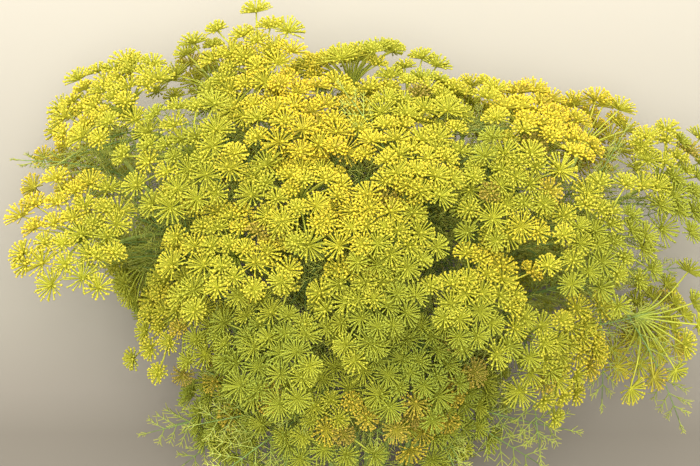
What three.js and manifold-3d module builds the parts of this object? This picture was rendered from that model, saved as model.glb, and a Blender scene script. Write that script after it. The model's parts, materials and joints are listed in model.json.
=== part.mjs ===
// A lying bunch of flowering dill: thirteen leafy stems held by a rubber band, each carrying three umbels.
// Millimetres, +Y along the stems towards the flowers, +Z up, origin on the surface under the band.
import * as THREE from 'three';
import Module from 'manifold-3d';
import { mergeVertices } from 'three/addons/utils/BufferGeometryUtils.js';

const wasm = await Module();
wasm.setup();

// ---- Driving dimensions ----
// the stems where the band holds them
const STEM_ROWS = [4, 5, 4];          // stems in each row, the lowest row first
const STEM_RADIUS = 3.1;
const STEM_PITCH = 7;                 // between stems in a row
const ROW_PITCH = 6.1;                // between rows
const CUT_END = 92;                   // from the band back to the cut ends
const UMBELS_PER_STEM = 3;
// the rubber band
const BAND_WIDTH = 7;
const BAND_THICKNESS = 2;
const BAND_GAP = 0.5;                 // clear of the stems
// the flower mass, as a rounded body about its centre
const MASS_CENTRE = new THREE.Vector3(0, 428, 124);
// half-widths seen from above, every 20 degrees from +X towards +Y
const MASS_OUTLINE = [
  372, 306, 224, 158, 174, 180, 214, 246, 344,
  372, 200, 226, 232, 226, 226, 218, 216, 338,
];
const MASS_RISE = 128;                // centre to top
const MASS_DROP = 138;                // centre to below the surface, which flattens the lowest umbels
const MASS_SQUARENESS = 2.1;
// how the umbels spread over it
const SPREAD_ROUNDS = 60;
const SPREAD_REACH = 158;             // umbels nearer than this push each other away
const SPREAD_STEP = 14;
const NECK_PUSH = 3.3;                // how strongly the neck keeps umbels away
const CLIMB = 1.5;                      // how strongly they crowd towards the top
// one umbel
const UMBEL_HEIGHT = 44;              // hub to the flat of the flowers
const UMBEL_MIDDLE = 25;              // hub to the middle of its bulk
const LEAST_SINK = 3;                 // from the mass's surface down to the flat of the flowers
const MOST_SINK = 15;
const UMBEL_TILT = 0.24;              // how far an umbel tilts to any side
const UMBEL_LEAN = 0.22;              // how far an umbel turns from the mass's surface towards the stem tips
const UMBEL_LIFT = 0.5;               // and the upper ones turn up
const LIFT_RUN = 80;                  // the height over which that sets in
const OUTWARD_SHARE = 0.65;           // and how far away from the mass's middle
const UMBEL_SEED = 12;
const UMBELLETS = 12;
const INNER_UMBELLETS = 4;
const INNER_REACH = 20.5;
const OUTER_REACH = [52, 56];         // every other outer umbellet
const OUTER_FALL = 9;                 // how much lower the outer umbellets stand
const INNER_RADIUS = 14.6;
const OUTER_RADIUS = [18.5, 16];
const MOST_REACH = 1.28;              // a ray grows this much longer where there is room
const TURN_PLAY = 0.06;               // how much the rays differ in angle, reach and height
const REACH_PLAY = 1.5;
const HEIGHT_PLAY = 5;
const SIZE_PLAY = 0.07;               // and the umbellets in size
const AXIS_LEAN = 0.7;                // how far an umbellet turns from its ray to the umbel's own axis
const LEAST_SIZE = 0.25;              // of an umbellet on a ray drawn right in
const SIZE_RISE = 0.8;                // and what it gains with the length of the ray
const TOP_ROOM = 4;                   // above the flat of the flowers
const RAY_RADIUS = 0.95;
const UMBEL_GAP = 0.6;                // between neighbouring umbels
const NEAR_UMBEL = 220;               // umbels whose middles are further apart never meet
const LEVELLING = 0.3;                // added to an umbellet's outline, and left out at the surface
// an umbellet is a starry cup of five floret tips round a raised middle
const TIPS = 5;
const TIP_RISE = 2.2;
const VALLEY = 0.6;                   // of the tip radius
const VALLEY_DROP = 1.4;
const MIDDLE_RISE = 3.2;
const CUP_DEPTH = 7;
// green growth
const BRANCH_RADIUS = 1.9;
const FROND_LENGTH = 95;
const FROND_PAIRS = 3;                // side threads, besides the one at the tip
const FIRST_PAIR = 0.34;              // share of the midrib at the first pair
const PAIR_RUN = 0.6;                 // and how much of it the pairs take up
const THREAD_REACH = 0.42;            // of the frond's length, for a thread at the root
const THREAD_FALL = 0.28;             // less at the tip
const THREAD_AHEAD = 0.66;            // how far a thread points ahead, and to the side
const THREAD_ASIDE = 0.75;
const MIDRIB_WIDTH = 1.6;
const THREAD_WIDTH = 3;               // at its root
const LEAF_THICKNESS = 1;
const FROND_ROOT = 4;                 // the first point of a stem's line that its frond may grow from
const FROND_ROOTS = 3;                // how many there are
const FROND_TURNS = 12;               // and how many ways round the stem are tried
const UMBEL_ROOM = 55;                // round an umbel's middle, to a frond
const GROUND_ROOM = 3;
const MEETING_GAP = 0.25;             // a branch's end to its umbel
// how the stems run
const CUT_SPLAY = 1.25;               // spread of the cut ends against the band
const HELD_RUN = 6;                   // straight on each side of the band's middle
const FAN_OUT = 0.35;                 // how far the stems fan out sideways as they leave the band
const FAN_UP = 0.06;                  // and how much steeper each row rises than the one below
const LEVEL_ROW = 0.6;
const MAIN_PULL = [0.45, 0.2];        // how firmly a stem keeps its first and last direction
const SIDE_PULL = [0.3, 0.35];
const MAIN_STEPS = 8;
const FIRST_ROOT = 5;                 // the first point of a stem that may carry a side branch
const ROOT_DISTANCE = 95;             // about as far below its umbel as a side branch parts
const SIDE_STEPS = 3;
const END_RUN = 22;                   // straight into the umbel
// how they bend to clear each other
const STEM_GAP = 1.4;                 // between the skins of two stems
const CONE_ROOM = 13;                 // round a hub, to a stem's middle
const CONE_SLOPE = 1.5;               // how an umbel widens away from its hub
const CONE_HEIGHT = 75;
const BEND_ROUNDS = 160;
const PUSH_SHARE = 0.6;               // of what is missing, made up in one round
const SMOOTHING = 0.025;
const GROUND_GAP = 0.5;

const FLOWER = new THREE.MeshStandardMaterial({ color: 0xb9bc2e, roughness: 0.75, metalness: 0 });
const GREEN = new THREE.MeshStandardMaterial({ color: 0x6f8a3a, roughness: 0.6, metalness: 0 });
const RUBBER = new THREE.MeshStandardMaterial({ color: 0xb98a55, roughness: 0.6, metalness: 0 });

const UP = new THREE.Vector3(0, 0, 1);
const ALONG = new THREE.Vector3(0, 1, 0);

// ---- Small helpers ----
// A seeded draw from 0 to 1, the same on every run.
function seeded(seed) {
  let state = seed >>> 0;
  return () => {
    state = (Math.imul(state, 1664525) + 1013904223) >>> 0;
    return state / 4294967296;
  };
}

const vec = (x, y, z) => new THREE.Vector3(x, y, z);
const plus = (a, b, k = 1) => a.clone().addScaledVector(b, k);
const between = (a, b) => b.clone().sub(a);

// Two directions square to an axis and to each other; the pair turns anticlockwise about the axis.
function acrossOf(axis) {
  const start = Math.abs(axis.dot(UP)) > 0.95 ? ALONG : UP;
  const side = plus(start, axis, -start.dot(axis)).normalize();
  return [side, axis.clone().cross(side)];
}

// ---- Meshes built ring by ring ----
class Skin {
  constructor() {
    this.points = [];
    this.faces = [];
  }

  point(p) {
    this.points.push(p.clone());
    return this.points.length - 1;
  }

  face(a, b, c) {
    this.faces.push(a, b, c);
  }

  // A ring of points about a centre; radii and lifts may differ from point to point.
  ring(centre, side, other, count, radiusAt, axis = null, liftAt = null) {
    const ring = [];
    for (let i = 0; i < count; i += 1) {
      const angle = 2 * Math.PI * i / count;
      const p = plus(centre, side, Math.cos(angle) * radiusAt(i));
      p.addScaledVector(other, Math.sin(angle) * radiusAt(i));
      if (axis) p.addScaledVector(axis, liftAt(i));
      ring.push(this.point(p));
    }
    return ring;
  }

  // Walls between two rings whose points go the same way round and start near the same angle.
  wall(low, high) {
    let i = 0;
    let j = 0;
    while (i < low.length || j < high.length) {
      const a = low[i % low.length];
      const b = high[j % high.length];
      if (i === low.length || (j < high.length && (j + 1) / high.length <= (i + 1) / low.length)) {
        this.face(a, high[(j + 1) % high.length], b);
        j += 1;
      } else {
        this.face(a, low[(i + 1) % low.length], b);
        i += 1;
      }
    }
  }

  fan(ring, tip) {
    ring.forEach((a, i) => this.face(a, ring[(i + 1) % ring.length], tip));
  }

  // A flat end; `back` is for the first ring of a tube.
  cap(ring, back) {
    for (let i = 1; i < ring.length - 1; i += 1) {
      if (back) this.face(ring[0], ring[i + 1], ring[i]);
      else this.face(ring[0], ring[i], ring[i + 1]);
    }
  }

  geometry() {
    const geometry = new THREE.BufferGeometry();
    const flat = this.points.flatMap((p) => [p.x, p.y, p.z]);
    geometry.setAttribute('position', new THREE.Float32BufferAttribute(flat, 3));
    geometry.setIndex(this.faces);
    return geometry;
  }
}

// A tube along points with a radius at each; it ends in a point where the last radius is 0.
function tube(points, radii, sides) {
  const skin = new Skin();
  let side = null;
  let last = null;
  points.forEach((centre, i) => {
    const ahead = points[Math.min(i + 1, points.length - 1)];
    const behind = points[Math.max(i - 1, 0)];
    const axis = between(behind, ahead).normalize();
    side = side ? plus(side, axis, -side.dot(axis)).normalize() : acrossOf(axis)[0];
    if (radii[i] === 0) {
      skin.fan(last, skin.point(centre));
      last = null;
      return;
    }
    const ring = skin.ring(centre, side, axis.clone().cross(side), sides, () => radii[i]);
    if (last) skin.wall(last, ring);
    else skin.cap(ring, true);
    last = ring;
  });
  if (last) skin.cap(last, false);
  return skin.geometry();
}

function solid(geometry) {
  const merged = mergeVertices(geometry, 1e-5);
  return new wasm.Manifold(new wasm.Mesh({
    numProp: 3,
    vertProperties: new Float32Array(merged.attributes.position.array),
    triVerts: new Uint32Array(merged.index.array),
  }));
}

function fused(geometries) {
  const whole = geometries.map(solid).reduce((a, b) => a.add(b));
  const mesh = whole.getMesh();
  const geometry = new THREE.BufferGeometry();
  geometry.setAttribute('position', new THREE.BufferAttribute(new Float32Array(mesh.vertProperties), 3));
  geometry.setIndex(new THREE.BufferAttribute(new Uint32Array(mesh.triVerts), 1));
  return geometry;
}

function named(name, geometry, material) {
  const mesh = new THREE.Mesh(geometry, material);
  mesh.name = name;
  return mesh;
}

// ---- The rounded body that the umbels cover ----
function outlineRadius(angle) {
  const count = MASS_OUTLINE.length;
  const place = ((angle / (2 * Math.PI) * count) % count + count) % count;
  const low = Math.floor(place) % count;
  const t = place - Math.floor(place);
  const ease = t * t * (3 - 2 * t);
  return MASS_OUTLINE[low] * (1 - ease) + MASS_OUTLINE[(low + 1) % count] * ease;
}

// 1 on the body's surface, less inside.
function bodyValue(p) {
  const d = between(MASS_CENTRE, p);
  const flat = Math.hypot(d.x, d.y) / outlineRadius(Math.atan2(d.y, d.x));
  const tall = Math.abs(d.z) / (d.z > 0 ? MASS_RISE : MASS_DROP);
  return (flat ** MASS_SQUARENESS + tall ** MASS_SQUARENESS) ** (1 / MASS_SQUARENESS);
}

function ontoBody(p) {
  return plus(MASS_CENTRE, between(MASS_CENTRE, p), 1 / bodyValue(p));
}

function bodyNormal(p) {
  const step = 4;
  const slope = ['x', 'y', 'z'].map((key) => {
    const ahead = p.clone();
    const behind = p.clone();
    ahead[key] += step;
    behind[key] -= step;
    return bodyValue(ahead) - bodyValue(behind);
  });
  return vec(...slope).normalize();
}

// ---- Where the umbels stand ----
// Spread over the body by pushing each other apart; the first place is the neck, where the stems come in.
function spreadPlaces(count) {
  const golden = Math.PI * (3 - Math.sqrt(5));
  const neck = ontoBody(vec(0, 0, 0));
  let places = [neck];
  for (let i = 0; i < count; i += 1) {
    const rise = 1 - 2 * (i + 0.5) / count;
    const flat = Math.sqrt(1 - rise * rise);
    const way = vec(flat * Math.cos(golden * i), flat * Math.sin(golden * i), rise);
    places.push(ontoBody(plus(MASS_CENTRE, way)));
  }
  for (let round = 0; round < SPREAD_ROUNDS; round += 1) {
    places = places.map((p, i) => {
      if (i === 0) return p;
      const push = vec(0, 0, 0);
      places.forEach((q, j) => {
        const away = between(q, p);
        const gap = away.length();
        if (j === i || gap > SPREAD_REACH) return;
        push.addScaledVector(away, (j ? 1 : NECK_PUSH) * (1 - gap / SPREAD_REACH) / gap);
      });
      return ontoBody(plus(plus(p, push, SPREAD_STEP), UP, CLIMB));
    });
  }
  return places.slice(1);
}

// An umbel looks out of the body, away from its middle and a little towards the stem tips.
function facingAt(top) {
  const normal = bodyNormal(top);
  const level = Math.hypot(normal.x, normal.y);
  const outward = between(MASS_CENTRE, top).setZ(0).normalize();
  const square = normal.clone().setZ(0).multiplyScalar((1 - OUTWARD_SHARE) / level);
  const aside = plus(square, outward, OUTWARD_SHARE);
  const lift = UMBEL_LIFT * Math.min(1, Math.max(0, (top.z - MASS_CENTRE.z) / LIFT_RUN + 0.5));
  return plus(plus(vec(0, 0, normal.z + lift), aside.normalize(), level), ALONG, UMBEL_LEAN).normalize();
}

function umbels() {
  const count = STEM_ROWS.reduce((a, b) => a + b) * UMBELS_PER_STEM;
  const draw = seeded(UMBEL_SEED);
  return spreadPlaces(count).map((top) => {
    const straight = facingAt(top);
    const [side, other] = acrossOf(straight);
    const tilt = () => UMBEL_TILT * (2 * draw() - 1);
    const facing = plus(plus(straight, side, tilt()), other, tilt()).normalize();
    const sink = LEAST_SINK + (MOST_SINK - LEAST_SINK) * draw();
    const hub = plus(top, facing, -UMBEL_HEIGHT - sink);
    const middle = plus(hub, facing, UMBEL_MIDDLE);
    return { top, facing, hub, middle, turn: Math.PI / 2 * draw(), seed: Math.floor(1e6 * draw()) };
  });
}

// How far an umbellet with this middle and axis stands out in a direction.
function standsOut(axis, radius, way) {
  const along = axis.dot(way);
  const tips = TIP_RISE * along + radius * Math.sqrt(Math.max(0, 1 - along * along));
  return Math.max(MIDDLE_RISE * along, tips) + LEVELLING;
}

// The umbellets of one umbel, drawn in where a neighbour or the surface below is near.
function umbellets(umbel, all) {
  const draw = seeded(umbel.seed);
  const [side, other] = acrossOf(umbel.facing);
  const out = [];
  for (let i = 0; i < UMBELLETS; i += 1) {
    const inner = i < INNER_UMBELLETS;
    const quarter = inner ? i + 0.5 : (i - INNER_UMBELLETS) / 2;
    const odd = i % 2;
    const angle = Math.PI / 2 * quarter + umbel.turn + TURN_PLAY * (draw() - 0.5);
    const reach = (inner ? INNER_REACH : OUTER_REACH[odd]) + REACH_PLAY * (draw() - 0.5);
    const height = UMBEL_HEIGHT - (inner ? 0 : OUTER_FALL) + HEIGHT_PLAY * (draw() - 0.5);
    const radius = (inner ? INNER_RADIUS : OUTER_RADIUS[odd]) * (1 - SIZE_PLAY * draw());
    const ray = side.clone().multiplyScalar(Math.cos(angle) * reach);
    ray.addScaledVector(other, Math.sin(angle) * reach).addScaledVector(umbel.facing, height);
    const axis = plus(ray.clone().normalize(), umbel.facing, AXIS_LEAN).normalize();
    let share = inner ? 1 : MOST_REACH;
    const keepBehind = (point, way, gap) => {
      const room = between(umbel.hub, point).dot(way) - standsOut(axis, radius, way) - gap;
      const wanted = ray.dot(way);
      if (wanted * share > room) share = room / wanted;
    };
    keepBehind(plus(umbel.hub, umbel.facing, UMBEL_HEIGHT + TOP_ROOM), umbel.facing, 0);
    all.forEach((near) => {
      if (near === umbel) return;
      const way = between(umbel.middle, near.middle);
      if (way.length() > NEAR_UMBEL) return;
      keepBehind(plus(umbel.middle, way, 0.5), way.normalize(), UMBEL_GAP / 2);
    });
    keepBehind(vec(0, 0, 0), vec(0, 0, -1), -LEVELLING);
    const size = Math.min(1, LEAST_SIZE + SIZE_RISE * share);
    out.push({ ray: ray.multiplyScalar(share), axis, radius: radius * size });
  }
  return out;
}

// ---- One umbel: a hub with a ray growing from each of its faces ----
const HUB_RINGS = [[-1.6, 2.6, Math.PI / 4], [2, 3, 0]];   // height, radius and turn, the lower ring first
const HUB_TOP = 4;

function umbelGeometry(umbel, heads) {
  const skin = new Skin();
  const [side, other] = acrossOf(umbel.facing);
  const turned = (a) => [
    plus(side.clone().multiplyScalar(Math.cos(a)), other, Math.sin(a)),
    plus(other.clone().multiplyScalar(Math.cos(a)), side, -Math.sin(a)),
  ];
  const [low, high] = HUB_RINGS.map(([height, radius, turn]) => {
    const [a, b] = turned(umbel.turn + turn);
    return skin.ring(plus(umbel.hub, umbel.facing, height), a, b, 4, () => radius);
  });
  const top = skin.point(plus(umbel.hub, umbel.facing, HUB_TOP));
  skin.cap(low, true);
  for (let k = 0; k < 4; k += 1) {
    const next = (k + 1) % 4;
    ray(skin, umbel, heads[k], [high[k], high[next], top]);
    ray(skin, umbel, heads[4 + 2 * k], [high[k], low[(k + 3) % 4], low[k]]);
    ray(skin, umbel, heads[5 + 2 * k], [high[k], low[k], high[next]]);
  }
  return skin.geometry();
}

function ray(skin, umbel, head, root) {
  const axis = head.ray.clone().normalize();
  const end = plus(umbel.hub, head.ray);
  const middle = root.reduce((sum, i) => sum.add(skin.points[i]), vec(0, 0, 0)).multiplyScalar(1 / 3);
  const neckAt = plus(end, head.axis, -CUP_DEPTH);
  const neck = root.map((i) => {
    const spoke = between(middle, skin.points[i]);
    spoke.addScaledVector(axis, -spoke.dot(axis)).normalize();
    return skin.point(plus(neckAt, spoke, RAY_RADIUS));
  });
  skin.wall(root, neck);
  const firstSpoke = between(neckAt, skin.points[neck[0]]);
  const side = plus(firstSpoke, head.axis, -firstSpoke.dot(head.axis)).normalize();
  const other = head.axis.clone().cross(side);
  const star = skin.ring(end, side, other, 2 * TIPS, (i) => head.radius * (i % 2 ? VALLEY : 1),
    head.axis, (i) => (i % 2 ? -VALLEY_DROP : TIP_RISE));
  skin.wall(neck, star);
  skin.fan(star, skin.point(plus(end, head.axis, MIDDLE_RISE)));
}

// ---- Stems ----
// Where each stem passes the band: x, z and its row.
function stemPlaces() {
  const places = [];
  STEM_ROWS.forEach((count, row) => {
    for (let i = 0; i < count; i += 1) {
      const x = (i - (count - 1) / 2) * STEM_PITCH;
      const z = BAND_THICKNESS + BAND_GAP + STEM_RADIUS + row * ROW_PITCH;
      places.push({ x, z, row });
    }
  });
  return places;
}

// Each row of stems takes the umbels at its own height, and each stem the three in line with it.
function shareOut(all) {
  const byHeight = [...all].sort((a, b) => a.top.z - b.top.z);
  const fan = (u) => Math.atan2(u.top.x, u.top.y);
  const groups = [];
  STEM_ROWS.forEach((count) => {
    const row = byHeight.splice(0, count * UMBELS_PER_STEM).sort((a, b) => fan(a) - fan(b));
    for (let i = 0; i < count; i += 1) {
      const group = row.slice(i * UMBELS_PER_STEM, (i + 1) * UMBELS_PER_STEM);
      groups.push(group.sort((a, b) => b.hub.length() - a.hub.length()));
    }
  });
  return groups;
}

function branchEnd(umbel) {
  return plus(umbel.hub, umbel.facing, HUB_RINGS[0][0] - MEETING_GAP);
}

// A stem's own line and its side branches, each ending straight into its umbel.
function firstRoutes(places, groups) {
  const routes = [];
  groups.forEach((group, stem) => {
    const place = places[stem];
    group.forEach((umbel, i) => {
      const end = branchEnd(umbel);
      const straight = plus(end, umbel.facing, -END_RUN);
      if (i === 0) {
        const held = [-HELD_RUN, HELD_RUN].map((y) => vec(place.x, y, place.z));
        const start = held[1];
        const length = start.distanceTo(straight);
        const fan = vec(end.x * FAN_OUT / length, 1, (place.row - LEVEL_ROW) * FAN_UP).normalize();
        const curve = new THREE.CubicBezierCurve3(start, plus(start, fan, MAIN_PULL[0] * length),
          plus(straight, umbel.facing, -MAIN_PULL[1] * length), straight);
        const cut = vec(place.x * CUT_SPLAY, -CUT_END, place.z);
        const points = [cut, held[0], ...curve.getPoints(MAIN_STEPS), end];
        const thinning = (k) => (STEM_RADIUS - BRANCH_RADIUS) * Math.max(0, k - 2) / (points.length - 3);
        const radii = points.map((p, k) => STEM_RADIUS - thinning(k));
        routes.push({ stem, umbel, parent: null, points, radii });
        return;
      }
      const main = routes.find((route) => route.stem === stem);
      const aim = plus(end, umbel.facing, -ROOT_DISTANCE);
      let root = FIRST_ROOT;
      for (let k = FIRST_ROOT; k <= MAIN_STEPS; k += 1) {
        if (main.points[k].distanceTo(aim) < main.points[root].distanceTo(aim)) root = k;
      }
      const start = main.points[root];
      const length = start.distanceTo(straight);
      const onward = between(main.points[root - 1], main.points[root + 1]).normalize();
      const curve = new THREE.CubicBezierCurve3(start, plus(start, onward, SIDE_PULL[0] * length),
        plus(straight, umbel.facing, -SIDE_PULL[1] * length), straight);
      const points = [...curve.getPoints(SIDE_STEPS), end];
      routes.push({ stem, umbel, parent: main, root, points, radii: points.map(() => BRANCH_RADIUS) });
    });
  });
  return routes;
}

// The nearest points of two straight runs, as shares along each.
function nearestShares(a, b, c, d) {
  const u = between(a, b);
  const v = between(c, d);
  const w = between(c, a);
  const uu = u.dot(u);
  const uv = u.dot(v);
  const vv = v.dot(v);
  const uw = u.dot(w);
  const vw = v.dot(w);
  const clamp = (x) => Math.min(1, Math.max(0, x));
  const flat = uu * vv - uv * uv;
  let s = flat > 1e-9 ? clamp((uv * vw - vv * uw) / flat) : 0;
  const t = clamp((uv * s + vw) / vv);
  s = clamp((uv * t - uw) / uu);
  return [s, t];
}

// The push that takes a point out of the cone that an umbel's rays fill.
function outOfUmbel(umbel, p) {
  const away = between(umbel.hub, p);
  const height = away.dot(umbel.facing);
  const aside = plus(away, umbel.facing, -height);
  const depth = CONE_ROOM + CONE_SLOPE * height - aside.length();
  if (height < -CONE_ROOM || height > CONE_HEIGHT || depth < 0) return vec(0, 0, 0);
  const way = plus(aside.normalize(), umbel.facing, -CONE_SLOPE);
  return way.multiplyScalar(PUSH_SHARE * depth / (1 + CONE_SLOPE ** 2));
}

// Bends the lines until stems clear each other and every umbel that they pass.
function bendClear(routes, all) {
  const runs = routes.flatMap((route) => route.points.slice(1).map((p, k) => ({ route, k })));
  for (let round = 0; round < BEND_ROUNDS; round += 1) {
    const pushes = new Map(routes.map((route) => [route, route.points.map(() => vec(0, 0, 0))]));
    runs.forEach((one, i) => {
      const [a, b] = [one.route.points[one.k], one.route.points[one.k + 1]];
      const mine = pushes.get(one.route);
      all.filter((umbel) => umbel !== one.route.umbel).forEach((umbel) => {
        [0.25, 0.5, 0.75, 1].forEach((share) => {
          const push = outOfUmbel(umbel, a.clone().lerp(b, share));
          mine[one.k].addScaledVector(push, 1 - share);
          mine[one.k + 1].addScaledVector(push, share);
        });
      });
      runs.slice(i + 1).forEach((another) => {
        if (another.route.stem === one.route.stem) return;
        const [c, d] = [another.route.points[another.k], another.route.points[another.k + 1]];
        const [s, t] = nearestShares(a, b, c, d);
        const away = between(c.clone().lerp(d, t), a.clone().lerp(b, s));
        const gap = away.length();
        const clear = one.route.radii[one.k] + another.route.radii[another.k] + STEM_GAP;
        if (gap > clear) return;
        away.multiplyScalar(PUSH_SHARE * (clear - gap) / gap);
        const theirs = pushes.get(another.route);
        mine[one.k].addScaledVector(away, 1 - s);
        mine[one.k + 1].addScaledVector(away, s);
        theirs[another.k].addScaledVector(away, t - 1);
        theirs[another.k + 1].addScaledVector(away, -t);
      });
    });
    routes.forEach((route) => {
      const push = pushes.get(route);
      const last = route.points.length - 1;
      const old = route.points.map((p) => p.clone());
      route.points.forEach((p, k) => {
        if (route.parent && k === 0) {
          p.copy(route.parent.points[route.root]);
          return;
        }
        if (k >= last - 1 || (!route.parent && k <= 2)) return;
        p.add(push[k]);
        p.addScaledVector(old[k - 1].clone().add(old[k + 1]).multiplyScalar(0.5).sub(old[k]), SMOOTHING);
        p.z = Math.max(p.z, STEM_RADIUS + GROUND_GAP);
      });
    });
  }
  return routes;
}

// ---- Fronds of thread leaf ----
// A frond's midrib leaves the stem and bends over; `out` points away from the stem.
function midribPoints(root, onward, out) {
  const reach = (along, away, drop) => {
    const level = plus(plus(root, onward, along * FROND_LENGTH), out, away * FROND_LENGTH);
    return plus(level, UP, -drop * FROND_LENGTH);
  };
  return [root, reach(0.26, 0.2, 0), reach(0.5, 0.46, 0.03), reach(0.7, 0.74, 0.1)];
}

// The midrib and the side threads as straight runs, with where each thread is rooted.
function frondLines(points, across) {
  const line = new THREE.CatmullRomCurve3(points);
  const threads = [];
  for (let pair = 0; pair < FROND_PAIRS; pair += 1) {
    const share = FIRST_PAIR + PAIR_RUN * pair / FROND_PAIRS;
    const root = line.getPoint(share);
    const reach = FROND_LENGTH * (THREAD_REACH - THREAD_FALL * share);
    const ahead = plus(root, line.getTangent(share), THREAD_AHEAD * reach);
    [THREAD_ASIDE, -THREAD_ASIDE].forEach((aside) => {
      threads.push({ share, root, tip: plus(ahead, across, aside * reach) });
    });
  }
  return { line, threads };
}

// How near a frond comes to another stem, an umbel or the surface.
function roomAround(points, across, stem, routes, all) {
  const { threads } = frondLines(points, across);
  const ribs = points.slice(1).map((p, k) => [points[k], p]);
  const runs = [...ribs, ...threads.map(({ root, tip }) => [root, tip])];
  const others = routes.filter((route) => route.stem !== stem);
  let room = Infinity;
  runs.forEach(([q, p]) => {
    room = Math.min(room, p.z - GROUND_ROOM);
    others.forEach((route) => {
      route.points.slice(1).forEach((b, j) => {
        const a = route.points[j];
        const [s, t] = nearestShares(q, p, a, b);
        room = Math.min(room, q.clone().lerp(p, s).distanceTo(a.clone().lerp(b, t)));
      });
    });
    all.forEach((umbel) => {
      room = Math.min(room, p.distanceTo(umbel.middle) - UMBEL_ROOM);
    });
  });
  return room;
}

function clearestFrond(route, stem, routes, all) {
  let best = { room: -Infinity };
  for (let k = FROND_ROOT; k < FROND_ROOT + FROND_ROOTS; k += 1) {
    const root = route.points[k];
    const onward = between(route.points[k - 1], route.points[k + 1]).normalize();
    const [side, other] = acrossOf(onward);
    for (let turn = 0; turn < FROND_TURNS; turn += 1) {
      const angle = 2 * Math.PI * turn / FROND_TURNS;
      const out = plus(side.clone().multiplyScalar(Math.cos(angle)), other, Math.sin(angle));
      const points = midribPoints(root, onward, out);
      const across = onward.clone().cross(out);
      const room = roomAround(points, across, stem, routes, all);
      if (room > best.room) best = { room, points, across };
    }
  }
  return best;
}

// A thin bent blade, cut to its midrib between the side threads.
function frondGeometry({ points, across }) {
  const { line, threads } = frondLines(points, across);
  const right = [];
  const left = [];
  const upAt = (share) => across.clone().cross(line.getTangent(share));
  const edge = (share) => {
    [[right, 1], [left, -1]].forEach(([side, hand]) => {
      side.push({ p: plus(line.getPoint(share), across, hand * MIDRIB_WIDTH / 2), up: upAt(share) });
    });
  };
  edge(0);
  threads.forEach(({ share, tip }, k) => {
    if (k % 2 === 0) edge(share);
    (k % 2 ? left : right).push({ p: tip, up: upAt(share) });
    if (k % 2) edge(share + THREAD_WIDTH / FROND_LENGTH);
  });
  const outline = [...right, { p: points[points.length - 1], up: upAt(1) }, ...left.reverse()];
  const skin = new Skin();
  const top = outline.map(({ p, up }) => skin.point(plus(p, up, LEAF_THICKNESS / 2)));
  const low = outline.map(({ p, up }) => skin.point(plus(p, up, -LEAF_THICKNESS / 2)));
  const count = outline.length;
  const opposite = (i) => count - 1 - i;
  const faces = [[right.length - 1, right.length, right.length + 1]];
  for (let i = 0; i < right.length - 1;) {
    const thread = i % 3 === 1;
    const next = i + (thread ? 2 : 1);
    if (thread) faces.push([i, i + 1, next], [opposite(next), opposite(i + 1), opposite(i)]);
    faces.push([opposite(i), i, next], [opposite(i), next, opposite(next)]);
    i = next;
  }
  faces.forEach(([a, b, c]) => {
    skin.face(top[a], top[b], top[c]);
    skin.face(low[a], low[c], low[b]);
  });
  outline.forEach((point, i) => {
    const j = (i + 1) % count;
    skin.face(low[i], low[j], top[j]);
    skin.face(low[i], top[j], top[i]);
  });
  return skin.geometry();
}

// ---- One leafy stem ----
function stemGeometry(stem, routes, all) {
  const own = routes.filter((route) => route.stem === stem);
  const parts = own.map((route) => tube(route.points, route.radii, route.parent ? 4 : 5));
  return fused([...parts, frondGeometry(clearestFrond(own[0], stem, routes, all))]);
}

// ---- The rubber band ----
function bandGeometry() {
  const rows = STEM_ROWS.length;
  const widest = Math.max(...STEM_ROWS);
  const halfWidth = (widest - 1) / 2 * STEM_PITCH + STEM_RADIUS + BAND_GAP;
  const endWidth = (STEM_ROWS[0] - 1) / 2 * STEM_PITCH + STEM_RADIUS;
  const height = (rows - 1) * ROW_PITCH + 2 * (STEM_RADIUS + BAND_GAP);
  const ring = (out) => {
    const shape = [
      [-endWidth, -height / 2 - out], [endWidth, -height / 2 - out],
      [halfWidth + out, -height / 4], [halfWidth + out, height / 4],
      [endWidth, height / 2 + out], [-endWidth, height / 2 + out],
      [-halfWidth - out, height / 4], [-halfWidth - out, -height / 4],
    ];
    return shape.map(([x, y]) => new THREE.Vector2(x, y));
  };
  const outline = new THREE.Shape(ring(BAND_THICKNESS));
  outline.holes.push(new THREE.Path(ring(0).reverse()));
  const band = new THREE.ExtrudeGeometry(outline, { depth: BAND_WIDTH, bevelEnabled: false });
  band.rotateX(Math.PI / 2);
  band.translate(0, BAND_WIDTH / 2, height / 2 + BAND_THICKNESS);
  return band;
}

// ---- The whole bunch ----
const bunch = new THREE.Group();
const twoDigits = (n) => String(n + 1).padStart(2, '0');
const all = umbels();
const groups = shareOut(all);
const routes = bendClear(firstRoutes(stemPlaces(), groups), all);
groups.forEach((group, stem) => {
  bunch.add(named(`leafy_stem_${twoDigits(stem)}`, stemGeometry(stem, routes, all), GREEN));
  group.forEach((umbel, i) => {
    const name = `umbel_${twoDigits(stem)}_${'abc'[i]}`;
    bunch.add(named(name, umbelGeometry(umbel, umbellets(umbel, all)), FLOWER));
  });
});
bunch.add(named('rubber_band', bandGeometry(), RUBBER));

export default bunch;
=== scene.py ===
import json
import math

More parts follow.
